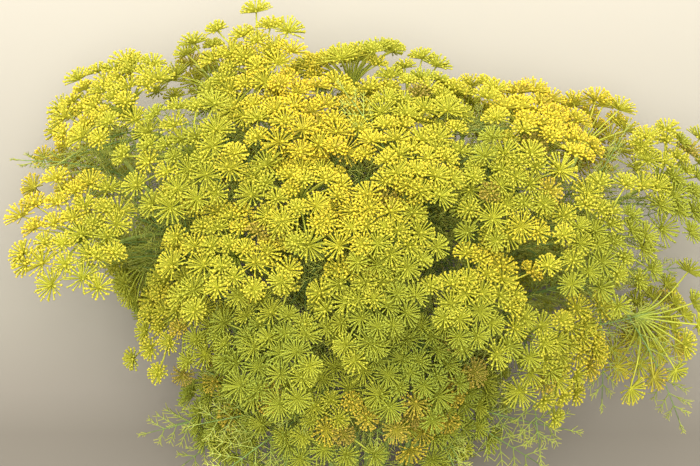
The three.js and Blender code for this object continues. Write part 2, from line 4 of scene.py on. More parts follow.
import bpy
import numpy as np
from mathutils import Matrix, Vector

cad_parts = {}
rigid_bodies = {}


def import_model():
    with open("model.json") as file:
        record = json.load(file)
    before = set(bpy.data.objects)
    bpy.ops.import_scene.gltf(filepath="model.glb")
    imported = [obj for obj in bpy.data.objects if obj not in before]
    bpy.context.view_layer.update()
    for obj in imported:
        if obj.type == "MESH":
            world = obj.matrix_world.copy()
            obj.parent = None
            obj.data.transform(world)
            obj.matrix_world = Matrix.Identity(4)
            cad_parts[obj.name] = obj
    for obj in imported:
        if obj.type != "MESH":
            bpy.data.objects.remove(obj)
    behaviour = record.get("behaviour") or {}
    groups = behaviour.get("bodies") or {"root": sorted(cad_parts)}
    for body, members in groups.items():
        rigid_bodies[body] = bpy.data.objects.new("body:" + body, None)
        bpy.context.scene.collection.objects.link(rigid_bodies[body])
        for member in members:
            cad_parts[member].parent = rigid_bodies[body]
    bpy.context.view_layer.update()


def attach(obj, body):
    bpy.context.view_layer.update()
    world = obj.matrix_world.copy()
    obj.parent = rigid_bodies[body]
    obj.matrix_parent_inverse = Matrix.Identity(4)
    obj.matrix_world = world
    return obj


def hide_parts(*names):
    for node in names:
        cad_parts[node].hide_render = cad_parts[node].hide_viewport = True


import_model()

# A lying bunch of flowering dill: thirteen leafy stems held by a rubber band, each carrying three umbels.
# Pieces are laid out in millimetres, +Y along the stems towards the flowers and +Z up from the table.

# ---- Driving dimensions of the layout, the same as the solids have ----
# the stems where the band holds them
STEM_ROWS = [4, 5, 4]                # stems in each row, the lowest row first
STEM_RADIUS = 3.1
STEM_PITCH = 7.0                     # between stems in a row
ROW_PITCH = 6.1                      # between rows
CUT_END = 92.0                       # from the band back to the cut ends
UMBELS_PER_STEM = 3
# the rubber band
BAND_WIDTH = 7.0
BAND_THICKNESS = 2.0
BAND_GAP = 0.5                       # clear of the stems
# the flower mass, as a rounded body about its centre
MASS_CENTRE = np.array([0.0, 428.0, 124.0])
# half-widths seen from above, every 20 degrees from +X towards +Y
MASS_OUTLINE = np.array([
    372, 306, 224, 158, 174, 180, 214, 246, 344,
    372, 200, 226, 232, 226, 226, 218, 216, 338,
], float)
MASS_RISE = 128.0                    # centre to top
MASS_DROP = 138.0                    # centre to below the table, which flattens the lowest umbels
MASS_SQUARENESS = 2.1
NORMAL_STEP = 4                      # to each side of a point, to tell which way the body faces there
# how the umbels spread over it
GOLDEN = math.pi * (3 - math.sqrt(5))
SPREAD_ROUNDS = 60
SPREAD_REACH = 158                   # umbels nearer than this push each other away
SPREAD_STEP = 14.0
NECK_PUSH = 3.3                      # how strongly the neck keeps umbels away
CLIMB = 1.5                          # how strongly they crowd towards the top
# one umbel
UMBEL_HEIGHT = 44.0                  # hub to the flat of the flowers
UMBEL_MIDDLE = 25                    # hub to the middle of its bulk
LEAST_SINK = 3.0                     # from the mass's surface down to the flat of the flowers
MOST_SINK = 15.0
UMBEL_TILT = 0.24                    # how far an umbel tilts to any side
UMBEL_LEAN = 0.22                    # how far an umbel turns from the mass's surface towards the stem tips
UMBEL_LIFT = 0.5                     # and the upper ones turn up
LIFT_RUN = 80.0                      # the height over which that sets in
OUTWARD_SHARE = 0.65                 # and how far away from the mass's middle
UMBEL_SEED = 12
SEED_RANGE = 1e6                     # of the seeds that the umbels draw for themselves
HUB_FOOT = -1.6                      # the underside of the hub
TOP_ROOM = 4                         # above the flat of the flowers
UMBEL_GAP = 0.6                      # between neighbouring umbels
NEAR_UMBEL = 220                     # umbels whose middles are further apart never meet
LEVELLING = 0.3                      # added to an umbellet's outline, and left out at the table
TIP_RISE = 2.2                       # of an umbellet's rim and middle along its axis
MIDDLE_RISE = 3.2
CUP_DEPTH = 7.0                      # from an umbellet's middle down to the end of its ray
# how the stems run
BRANCH_RADIUS = 1.9
MEETING_GAP = 0.25                   # a branch's end to its umbel
CUT_SPLAY = 1.25                     # spread of the cut ends against the band
HELD_RUN = 6.0                       # straight on each side of the band's middle
HELD_POINTS = 3                      # the points of a stem's line up to the end of that run
FAN_OUT = 0.35                       # how far the stems fan out sideways as they leave the band
FAN_UP = 0.06                        # and how much steeper each row rises than the one below
LEVEL_ROW = 0.6
MAIN_PULL = (0.45, 0.2)              # how firmly a stem keeps its first and last direction
SIDE_PULL = (0.3, 0.35)
MAIN_STEPS = 8
FIRST_ROOT = 5                       # the first point of a stem that may carry a side branch
ROOT_DISTANCE = 95                   # about as far below its umbel as a side branch parts
SIDE_STEPS = 3
END_RUN = 22.0                       # straight into the umbel
END_POINTS = 2                       # the points of a line that this run holds
# how they bend to clear each other
STEM_GAP = 1.4                       # between the skins of two stems
CONE_ROOM = 13                       # round a hub, to a stem's middle
CONE_SLOPE = 1.5                     # how an umbel widens away from its hub
CONE_HEIGHT = 75
CONE_PLACES = (0.25, 0.5, 0.75, 1)   # shares of each run that are held clear of the umbels
BEND_ROUNDS = 160
PUSH_SHARE = 0.6                     # of what is missing, made up in one round
SMOOTHING = 0.025
GROUND_GAP = 0.5
# where the largest frond of a stem grows
FROND_LENGTH = 95.0
FROND_PAIRS = 3
FIRST_PAIR = 0.34                    # share of the midrib at the first pair
PAIR_RUN = 0.6                       # and how much of it the pairs take up
THREAD_REACH = 0.42                  # of the frond's length, for a side leaf at the root
THREAD_FALL = 0.28                   # less at the tip
THREAD_AHEAD = 0.66                  # how far a side leaf points ahead, and to the side
THREAD_ASIDE = 0.75
FROND_ROOT = 4                       # the first point of a stem's line that its frond may grow from
FROND_ROOTS = 3                      # how many there are
FROND_TURNS = 12                     # and how many ways round the stem are tried
UMBEL_ROOM = 55                      # round an umbel's middle, to a frond
GROUND_ROOM = 3
# a midrib's points, as shares of its length: onward along the stem, out from it, and down
MIDRIB_REACHES = [(0, 0, 0), (0.26, 0.2, 0), (0.5, 0.46, 0.03), (0.7, 0.74, 0.1)]

# ---- The finer growth ----
# A pair named _SIZES, _RIPES or _RANGE holds the least, and what chance adds to it. A _PLAY is the whole
# width of a chance to both sides. A pair named _RADII or _TONES holds the value at the start and at the
# end. A tone runs from 0 at the stem to 1 at the floret, and ripeness from 0 in bud to 1 past its best.
MOST_HEIGHT = 252.0                  # no umbellet stands higher than this over the table
PRESSED = 0.5                        # what hangs lower than this is pressed flat on the table
CROSSING = 7.0                       # how far neighbouring umbels grow into each other
# the umbellets of an umbel
UMBELLETS = 29
FIRST_STEP = 0.55                    # how far out the first stands, of one step to the next
OUTER_REACH = 58.0                   # from the umbel's axis to the outermost
OUTER_FALL = 9.0                     # how much lower that stands
MOST_REACH = 1.3                     # its ray grows this much longer where there is room
TURN_PLAY = 0.2                      # in radians
REACH_PLAY = 0.06                    # of the reach
HEIGHT_PLAY = 13
SINKING = 0.7                        # the share of the play in height that goes down
INNER_RADIUS = 14.0                  # of an umbellet at the middle of the umbel
OUTER_RADIUS = 16.8                  # and at its rim
UMBELLET_SIZES = (0.66, 0.42)
LEAST_SIZE = 0.25                    # of an umbellet on a ray drawn right in
SIZE_RISE = 0.8                      # and what it gains with the length of the ray
AXIS_LEAN = 0.6                      # how far an umbellet turns from its ray to the umbel's own axis
AXIS_PLAY = 0.75
UPRIGHT = 0.45                       # how far it turns along the stems, near the band
UPRIGHT_GAIN = 0.4                   # and what is added further out
UPRIGHT_RUN = (200, 200)             # where in y that starts, and over what length
# their rays
RAY_POINTS = 5
RAY_SIDES = 4
RAY_OUTWARD = 0.35                   # how far a ray starts towards its own end, and not along the axis
RAY_BEND = 0.42                      # how far out it bends, of its length
RAY_RADII = (1.15, 0.75)
RAY_TONES = (0.05, 0.45)
# their florets on pedicels
FLORETS = 42
FAN_START = 12                       # degrees from the umbellet's axis to the first pedicel
FAN_SPREAD = 72                      # and on to the last one
FAN_CROWDING = 0.6                   # below 1 the florets crowd at the rim
FAN_PLAY = 0.12                      # in that angle and in the turn about the axis, in radians
FAN_TURN_PLAY = 0.25
OUT_PLAY = 0.16                      # of a floret's distance from the axis
HEAD_RISE = 3.4                      # how far the florets of a middling umbellet stand over its middle
MIDDLING_RADIUS = 12.5
HEAD_PLAY = 1.2
PEDICEL_RADII = (0.46, 0.74)
PEDICEL_TONES = (0.5, 0.8)
THREAD_SIDES = 3                     # of a pedicel, and of the thread leaves
FLORET_SIZES = (0.68, 0.46)
FOOT_TONE = 0.75
OPEN_FROM = 0.34                     # the ripeness at which a bud opens
# ripeness over the mass. Its rise along y is partly painted shade: florets near the band are greener and
# darker, as if that end lay in shade
BAND_RIPENESS_WITH_SHADE = 0.2                   # near the band
RIPENESS_AND_LIGHT_GAIN = 0.22                 # what is added further out
RIPENESS_AND_SHADE_RUN = (240, 240)            # where in y that starts, and over what length
# places in full yellow bloom and in bud: x, y and reach
FULL_BLOOM = [(-12, 455, 76), (-40, 555, 42), (-318, 485, 70), (180, 562, 50), (235, 515, 55),
              (256, 300, 40), (165, 410, 45), (-2, 258, 40), (-350, 440, 60)]
BLOOM_GAIN = 0.42
BUDDING = [(-150, 520, 60), (-110, 300, 60), (300, 430, 60), (75, 315, 85), (90, 250, 90)]
BUDDING_LOSS = 0.16
UMBEL_RIPE_PLAY = 0.3
UMBELLET_RIPE_PLAY = 0.26
FLORET_RIPE_PLAY = 0.16
MOST_RIPE = 0.88                     # as far as an umbellet comes that isn't spent
SPENT_FROM = 0.9
SPENT_RIPES = (0.93, 0.06)
SPENT_SHARES = (0.14, 0.04)          # of the umbellets, near the band and further out
SPENT_LIMIT = 330                    # where in y one ends and the other starts
# stems
STEM_FINENESS = 4                    # steps from one point of a line to the next
STEM_SIDES = 16
BRANCH_SIDES = 10
STEM_RIBS = 0.09                     # how far the ribs of a stem stand out, of its radius
STEM_HEIGHT = 2.2                    # a stem's line lies no lower
STEM_TONES = (0.0, 0.05)
HOLLOW_SHARE = 0.62                  # of a stem's radius
HOLLOW_DEPTH = 9.0
SHEATH = 26.0                        # length of the sheath where a side branch parts
# the sheath's radius along its length, of the branch's own
SHEATH_SWELLING = np.array([1.5, 1.75, 1.62, 1.45, 1.28, 1.08])
SHEATH_SIDES = 9
SHEATH_RIBS = 0.05
SHEATH_TONES = (0.32, 0.1)
# fronds
FROND_SEED = 900
STEM_FRONDS = 22                     # tried on a main stem
BRANCH_FRONDS = 11                   # and on a side branch
STEM_RANGE = (0.4, 0.52)             # along a main stem, where they crowd towards the flowers
BRANCH_RANGE = (0.25, 0.65)
FROND_SIZES = (90, 50)
TIP_REACH = 0.5                      # past a midrib's end, of its last part
FROND_HEIGHTS = (2, 200)             # between which a frond's tip stays
MASS_ROOM = 0.95                     # and how far out in the flower mass
MASS_START = 250                     # from this y on
RIB_POINTS = 7
RIB_SIDES = 4
RIB_RADII = (0.95, 0.4)
RIB_RIPE = 0.1
LEAF_HEIGHT = 1.2                    # a leaf lies no lower
# shares of the midrib, with a pair of side leaves at each and a single one at its end
LEAF_PLACES = (0.24, 0.38, 0.52, 0.65, 0.77, 0.88, 1.0)
LEAF_SIZES = (0.85, 0.3)
LEAF_LIFT = 0.12                     # how far a side leaf's tip strays up and down, of its length
LEAF_CUTS = (0.36, 0.6, 0.82)        # where a side leaf parts into threads
CUT_REACH = 0.42                     # of the side leaf's length, for a thread at its root
CUT_FALL = 0.2                       # less at its tip
CUT_SIZES = (0.75, 0.5)
CUT_AHEAD = 0.8
CUT_ASIDE = 0.62
CUT_PLAY = 0.5
LEAF_RADII = (0.65, 0.34)
LEAF_TONES = (0.02, 0.2)
LEAF_RIPES = (0.1, 0.2)
# the band, one flat strap wound round and round
BAND_TURNS = 3
BAND_STEPS = 96                      # in each turn
BAND_ROUNDING = (-2, -1, 0, 1, 2)    # the steps that each corner is rounded over
BAND_EDGE = 1.15                     # from the strap's middle line to the edge of the band
BAND_WANDER = 0.5                    # in and out, where turns cross
STRAP = (1.05, 0.46)                 # half its width and thickness
STRAP_FLATS = (0.9, 0.3)             # and of its flats, between the bevelled edges

UP = np.array([0.0, 0.0, 1.0])
ALONG = np.array([0.0, 1.0, 0.0])
MILLIMETRES = 1000                   # in a metre
DRAW_FACTOR = 1664525
DRAW_STEP = 1013904223
DRAW_RANGE = 2 ** 32
STEEP = 0.95                         # an axis nearer to straight up than this takes its side from +Y
TINY = 1e-9                          # keeps a division clear of 0
LEAST_SQUARE = 1e-8                  # and a squared length
CENTRIPETAL = 0.25                   # the power of a squared length that keeps a curve from looping
SHORT_STEP = 1e-4                    # along a curve, to tell its direction


# ---- Small helpers ----
def seeded(seed):
    """A draw from 0 to 1, the same on every run."""
    state = seed

    def draw():
        nonlocal state
        state = (state * DRAW_FACTOR + DRAW_STEP) % DRAW_RANGE
        return state / DRAW_RANGE

    return draw


def played(rng, play, shape=None):
    """A draw centred on 0, with `play` from its least to its most."""
    return play * (rng.random(shape) - 0.5)


def drawn(rng, sizes, shape=None):
    """A draw from the least of `sizes` up to what chance adds to it."""
    least, more = sizes
    return least + more * rng.random(shape)


def share_along(value, run):
    """How far a value has come along a run, given by its start and length, from 0 to 1."""
    start, length = run
    return min(1, max(0, (value - start) / length))


def dot(a, b):
    return (a * b).sum(-1)


def length_of(v):
    return np.sqrt((v * v).sum(-1))


def unit(v):
    return v / length_of(v)[..., None]


def across_of(axis):
    """Two directions square to an axis and to each other, turning anticlockwise about it."""
    start = ALONG if abs(axis @ UP) > STEEP else UP
    side = unit(start - axis * (start @ axis))
    return side, np.cross(axis, side)


def frames_of(axes):
    """across_of for many axes at once."""
    steep = np.abs(axes @ UP) > STEEP
    start = np.where(steep[:, None], ALONG, UP)
    side = unit(start - axes * (start * axes).sum(-1)[:, None])
    return side, np.cross(axes, side)


def ring_about(side, other, sides, ribs=0.0):
    """A ring of points at radius 1, for one axis or for each of many. `ribs` raises every other point."""
    around = 2 * math.pi * np.arange(sides) / sides
    raised = 1 + ribs * (np.arange(sides) % 2)
    forth = side[..., None, :] * (np.cos(around) * raised)[:, None]
    return forth + other[..., None, :] * (np.sin(around) * raised)[:, None]


# ---- The rounded body that the umbels cover ----
def outline_radius(angle):
    count = len(MASS_OUTLINE)
    place = (angle / (2 * math.pi) * count) % count
    low = np.floor(place).astype(int) % count
    t = place - np.floor(place)
    ease = t * t * (3 - 2 * t)
    return MASS_OUTLINE[low] * (1 - ease) + MASS_OUTLINE[(low + 1) % count] * ease


def body_value(p):
    """1 on the body's surface, less inside."""
    d = p - MASS_CENTRE
    flat = np.hypot(d[..., 0], d[..., 1]) / outline_radius(np.arctan2(d[..., 1], d[..., 0]))
    tall = np.abs(d[..., 2]) / np.where(d[..., 2] > 0, MASS_RISE, MASS_DROP)
    return (flat ** MASS_SQUARENESS + tall ** MASS_SQUARENESS) ** (1 / MASS_SQUARENESS)


def onto_body(p):
    return MASS_CENTRE + (p - MASS_CENTRE) / body_value(p)[..., None]


def body_normal(p):
    steps = NORMAL_STEP * np.eye(3)
    return unit(np.stack([body_value(p + step) - body_value(p - step) for step in steps], -1))


# ---- Where the umbels stand ----
def spread_places(count):
    """Places pushed apart over the body. The neck, where the stems come in, keeps its own place free."""
    i = np.arange(count)
    rise = 1 - 2 * (i + 0.5) / count
    flat = np.sqrt(1 - rise * rise)
    ways = np.stack([flat * np.cos(GOLDEN * i), flat * np.sin(GOLDEN * i), rise], -1)
    neck = onto_body(np.zeros((1, 3)))
    places = np.vstack([neck, onto_body(MASS_CENTRE + ways)])
    weight = np.ones(count + 1)
    weight[0] = NECK_PUSH
    for _ in range(SPREAD_ROUNDS):
        away = places[:, None] - places[None]
        gap = length_of(away)
        np.fill_diagonal(gap, np.inf)
        share = weight * (1 - gap / SPREAD_REACH).clip(0, None) / gap
        moved = onto_body(places + SPREAD_STEP * (away * share[..., None]).sum(1) + UP * CLIMB)
        places[1:] = moved[1:]
    return places[1:]


def facings_at(tops):
    """Umbels look out of the body, away from its middle and a little towards the stem tips."""
    normal = body_normal(tops)
    level = np.hypot(normal[:, 0], normal[:, 1])
    flatten = np.array([1.0, 1.0, 0.0])
    outward = unit((tops - MASS_CENTRE) * flatten)
    square = normal * flatten * ((1 - OUTWARD_SHARE) / level)[:, None]
    aside = unit(outward * OUTWARD_SHARE + square)
    lift = UMBEL_LIFT * ((tops[:, 2:] - MASS_CENTRE[2]) / LIFT_RUN + 0.5).clip(0, 1)
    return unit(UP * (normal[:, 2:] + lift) + aside * level[:, None] + ALONG * UMBEL_LEAN)


class Umbel:
    """Where one flower head stands, which way it faces, and what it draws its finer growth from."""

    def __init__(self, top, facing, draw):
        self.top = top
        side, other = across_of(facing)
        tilted = facing + side * UMBEL_TILT * (2 * draw() - 1)
        tilted = tilted + other * UMBEL_TILT * (2 * draw() - 1)
        self.facing = unit(tilted)
        depth = UMBEL_HEIGHT + LEAST_SINK + (MOST_SINK - LEAST_SINK) * draw()
        self.hub = top - self.facing * depth
        self.middle = self.hub + UMBEL_MIDDLE * self.facing
        self.turn = math.pi / 2 * draw()
        self.seed = int(SEED_RANGE * draw())


def grow_umbels():
    draw = seeded(UMBEL_SEED)
    tops = spread_places(sum(STEM_ROWS) * UMBELS_PER_STEM)
    return [Umbel(top, facing, draw) for top, facing in zip(tops, facings_at(tops))]


def share_out(umbels):
    """Each stem's three umbels, its own tip's first."""
    by_height = sorted(umbels, key=lambda u: u.top[2])
    groups = []
    for count in STEM_ROWS:
        size = count * UMBELS_PER_STEM
        row = sorted(by_height[:size], key=lambda u: math.atan2(u.top[0], u.top[1]))
        by_height = by_height[size:]
        for i in range(0, size, UMBELS_PER_STEM):
            groups.append(sorted(row[i:i + UMBELS_PER_STEM], key=lambda u: -np.linalg.norm(u.hub)))
    return groups


# ---- How the stems run ----
class Route:
    """The line of a main stem or a side branch, with its radius at each point."""

    def __init__(self, stem, umbel, parent, root, points, radii):
        self.stem = stem
        self.umbel = umbel
        self.parent = parent
        self.root = root
        self.points = points
        self.radii = radii


def stem_places():
    """x, z and row of every stem in the band."""
    places = []
    for row, count in enumerate(STEM_ROWS):
        z = BAND_THICKNESS + BAND_GAP + STEM_RADIUS + row * ROW_PITCH
        places += [((i - (count - 1) / 2) * STEM_PITCH, z, row) for i in range(count)]
    return places


def bezier(a, b, c, d, steps):
    t = np.linspace(0, 1, steps + 1)[:, None]
    return a * (1 - t) ** 3 + 3 * b * t * (1 - t) ** 2 + 3 * c * t * t * (1 - t) + d * t ** 3


def way_in(umbel):
    """Where a line ends under its umbel, and where its last straight run starts."""
    end = umbel.hub + umbel.facing * (HUB_FOOT - MEETING_GAP)
    return end, end - umbel.facing * END_RUN


def main_route(stem, place, umbel):
    x, z, row = place
    end, straight = way_in(umbel)
    held = [np.array([x, y, z]) for y in (-HELD_RUN, HELD_RUN)]
    size = np.linalg.norm(straight - held[1])
    fan = unit(np.array([end[0] * FAN_OUT / size, 1, (row - LEVEL_ROW) * FAN_UP]))
    curve = bezier(held[1], held[1] + fan * MAIN_PULL[0] * size,
                   straight - umbel.facing * MAIN_PULL[1] * size, straight, MAIN_STEPS)
    points = np.vstack([[x * CUT_SPLAY, -CUT_END, z], held[0], curve, end])
    thinning = np.maximum(0, np.arange(len(points)) - (HELD_POINTS - 1)) / (len(points) - HELD_POINTS)
    return Route(stem, umbel, None, 0, points, STEM_RADIUS - (STEM_RADIUS - BRANCH_RADIUS) * thinning)


def side_route(main, umbel):
    end, straight = way_in(umbel)
    aim = end - umbel.facing * ROOT_DISTANCE
    root = min(range(FIRST_ROOT, MAIN_STEPS + 1), key=lambda k: np.linalg.norm(main.points[k] - aim))
    start = main.points[root]
    size = np.linalg.norm(straight - start)
    onward = unit(main.points[root + 1] - main.points[root - 1])
    curve = bezier(start, start + onward * SIDE_PULL[0] * size,
                   straight - umbel.facing * SIDE_PULL[1] * size, straight, SIDE_STEPS)
    points = np.vstack([curve, end])
    return Route(main.stem, umbel, main, root, points, np.full(len(points), BRANCH_RADIUS))


def first_routes(groups):
    routes = []
    for stem, (place, group) in enumerate(zip(stem_places(), groups)):
        main = main_route(stem, place, group[0])
        routes += [main] + [side_route(main, umbel) for umbel in group[1:]]
    return routes


def nearest_shares(a, b, c, d):
    """How far along the runs a to b and c to d their nearest points lie, each from 0 to 1."""
    u, v, w = b - a, d - c, a - c
    uu, uv, vv, uw, vw = dot(u, u), dot(u, v), dot(v, v), dot(u, w), dot(v, w)
    flat = uu * vv - uv * uv
    s = np.where(flat > TINY, ((uv * vw - vv * uw) / np.where(flat > TINY, flat, 1)).clip(0, 1), 0)
    t = ((uv * s + vw) / vv).clip(0, 1)
    return ((uv * t - uw) / uu).clip(0, 1), t


def out_of_umbels(places, hubs, facings, others):
    """How far each place on a stem moves to come out of the umbels that it passes."""
    away = places[:, None] - hubs
    height = dot(away, facings)
    aside = away - facings * height[..., None]
    wide = length_of(aside)
    depth = CONE_ROOM + CONE_SLOPE * height - wide
    inside = others & (height >= -CONE_ROOM) & (height <= CONE_HEIGHT) & (depth >= 0)
    way = aside / np.maximum(wide, TINY)[..., None] - facings * CONE_SLOPE
    return (way * (inside * PUSH_SHARE * depth / (1 + CONE_SLOPE ** 2))[..., None]).sum(1)


def free_points(routes, marks):
    """Which points may move, and which point of its stem the start of each side branch follows."""
    moves = np.ones(marks[-1], bool)
    roots = {}
    for route, first, end in zip(routes, marks, marks[1:]):
        moves[end - END_POINTS:end] = False
        if route.parent:
            moves[first] = False
            roots[first] = marks[routes.index(route.parent)] + route.root
        else:
            moves[first:first + HELD_POINTS] = False
    return np.flatnonzero(moves), roots


def bend_clear(routes, umbels):
    """Bends the lines until stems clear each other and every umbel that they pass."""
    marks = np.cumsum([0] + [len(route.points) for route in routes])
    points = np.vstack([route.points for route in routes])
    # a run goes from one point of a line to the next
    runs = np.concatenate([np.arange(first, end - 1) for first, end in zip(marks, marks[1:])])
    stem = np.concatenate([[route.stem] * (len(route.points) - 1) for route in routes])
    radius = np.concatenate([route.radii[:-1] for route in routes])
    own = np.concatenate([[umbels.index(route.umbel)] * (len(route.points) - 1) for route in routes])
    others = np.arange(len(umbels)) != own[:, None]
    hubs = np.array([umbel.hub for umbel in umbels])
    facings = np.array([umbel.facing for umbel in umbels])
    i, j = np.triu_indices(len(runs), 1)
    apart = stem[i] != stem[j]
    i, j = i[apart], j[apart]
    clear = radius[i] + radius[j] + STEM_GAP
    moving, roots = free_points(routes, marks)
    for _ in range(BEND_ROUNDS):
        push = np.zeros_like(points)
        a, b = points[runs], points[runs + 1]
        for share in CONE_PLACES:
            out = out_of_umbels(a + (b - a) * share, hubs, facings, others)
            np.add.at(push, runs, out * (1 - share))
            np.add.at(push, runs + 1, out * share)
        s, t = nearest_shares(a[i], b[i], a[j], b[j])
        away = a[i] + (b[i] - a[i]) * s[:, None] - a[j] - (b[j] - a[j]) * t[:, None]
        gap = length_of(away)
        away *= (np.where(gap > clear, 0, PUSH_SHARE * (clear - gap)) / gap)[:, None]
        s, t = s[:, None], t[:, None]
        for run, part in ((runs[i], 1 - s), (runs[i] + 1, s), (runs[j], t - 1), (runs[j] + 1, -t)):
            np.add.at(push, run, away * part)
        bent = points.copy()
        smoother = (points[moving - 1] + points[moving + 1]) / 2 - points[moving]
        bent[moving] += push[moving] + smoother * SMOOTHING
        bent[moving, 2] = np.maximum(bent[moving, 2], STEM_RADIUS + GROUND_GAP)
        for start, root in roots.items():
            bent[start] = bent[root]
        points = bent
    for route, first, end in zip(routes, marks, marks[1:]):
        route.points = points[first:end]


# ---- Where the largest frond of each stem grows ----
class Spline:
    """A smooth curve through points, by its share from 0 to 1."""

    def __init__(self, points):
        self.points = np.vstack([2 * points[0] - points[1], points, 2 * points[-1] - points[-2]])

    def at(self, shares):
        shares = np.clip(np.atleast_1d(shares), 0, 1) * (len(self.points) - 3)
        low = np.minimum(shares.astype(int), len(self.points) - 4)
        t = (shares - low)[:, None]
        p = [self.points[low + k] for k in range(4)]
        d = [np.maximum(dot(b - a, b - a)[:, None], LEAST_SQUARE) ** CENTRIPETAL
             for a, b in zip(p, p[1:])]
        lead = ((p[1] - p[0]) / d[0] - (p[2] - p[0]) / (d[0] + d[1]) + (p[2] - p[1]) / d[1]) * d[1]
        trail = ((p[2] - p[1]) / d[1] - (p[3] - p[1]) / (d[1] + d[2]) + (p[3] - p[2]) / d[2]) * d[1]
        square = -3 * p[1] + 3 * p[2] - 2 * lead - trail
        cube = 2 * p[1] - 2 * p[2] + lead + trail
        return p[1] + lead * t + square * t * t + cube * t ** 3

    def way(self, shares):
        shares = np.atleast_1d(shares)
        ahead = self.at(np.minimum(shares + SHORT_STEP, 1))
        behind = self.at(np.maximum(shares - SHORT_STEP, 0))
        return unit(ahead - behind)


def midrib_points(root, onward, out, length):
    return np.array([root + length * (onward * a + out * b - UP * c) for a, b, c in MIDRIB_REACHES])


def frond_room(points, across, others, middles):
    """The least room round a frond, to the table, the other stems' lines and the umbels."""
    line = Spline(points)
    shares = np.repeat(FIRST_PAIR + PAIR_RUN * np.arange(FROND_PAIRS) / FROND_PAIRS, 2)
    hands = np.tile([1.0, -1.0], FROND_PAIRS)
    roots = line.at(shares)
    reach = FROND_LENGTH * (THREAD_REACH - THREAD_FALL * shares)[:, None]
    tips = roots + line.way(shares) * THREAD_AHEAD * reach + across * THREAD_ASIDE * hands[:, None] * reach
    q = np.vstack([points[:-1], roots])[:, None]
    p = np.vstack([points[1:], tips])[:, None]
    a, b = others
    s, t = nearest_shares(q, p, a, b)
    gaps = length_of(q + (p - q) * s[..., None] - a - (b - a) * t[..., None])
    return min(p[..., 2].min() - GROUND_ROOM, gaps.min(), length_of(p - middles).min() - UMBEL_ROOM)


def clearest_frond(stem, routes, umbels):
    """The midrib of a stem's largest frond and the way across it, where it has the most room."""
    main = next(route for route in routes if route.stem == stem)
    rest = [route.points for route in routes if route.stem != stem]
    others = np.vstack([p[:-1] for p in rest]), np.vstack([p[1:] for p in rest])
    middles = np.array([umbel.middle for umbel in umbels])
    best, kept = -np.inf, None
    for k in range(FROND_ROOT, FROND_ROOT + FROND_ROOTS):
        onward = unit(main.points[k + 1] - main.points[k - 1])
        side, other = across_of(onward)
        for turn in range(FROND_TURNS):
            angle = 2 * math.pi / FROND_TURNS * turn
            out = side * math.cos(angle) + other * math.sin(angle)
            points = midrib_points(main.points[k], onward, out, FROND_LENGTH)
            across = np.cross(onward, out)
            room = frond_room(points, across, others, middles)
            if room > best:
                best, kept = room, (points, across)
    return kept


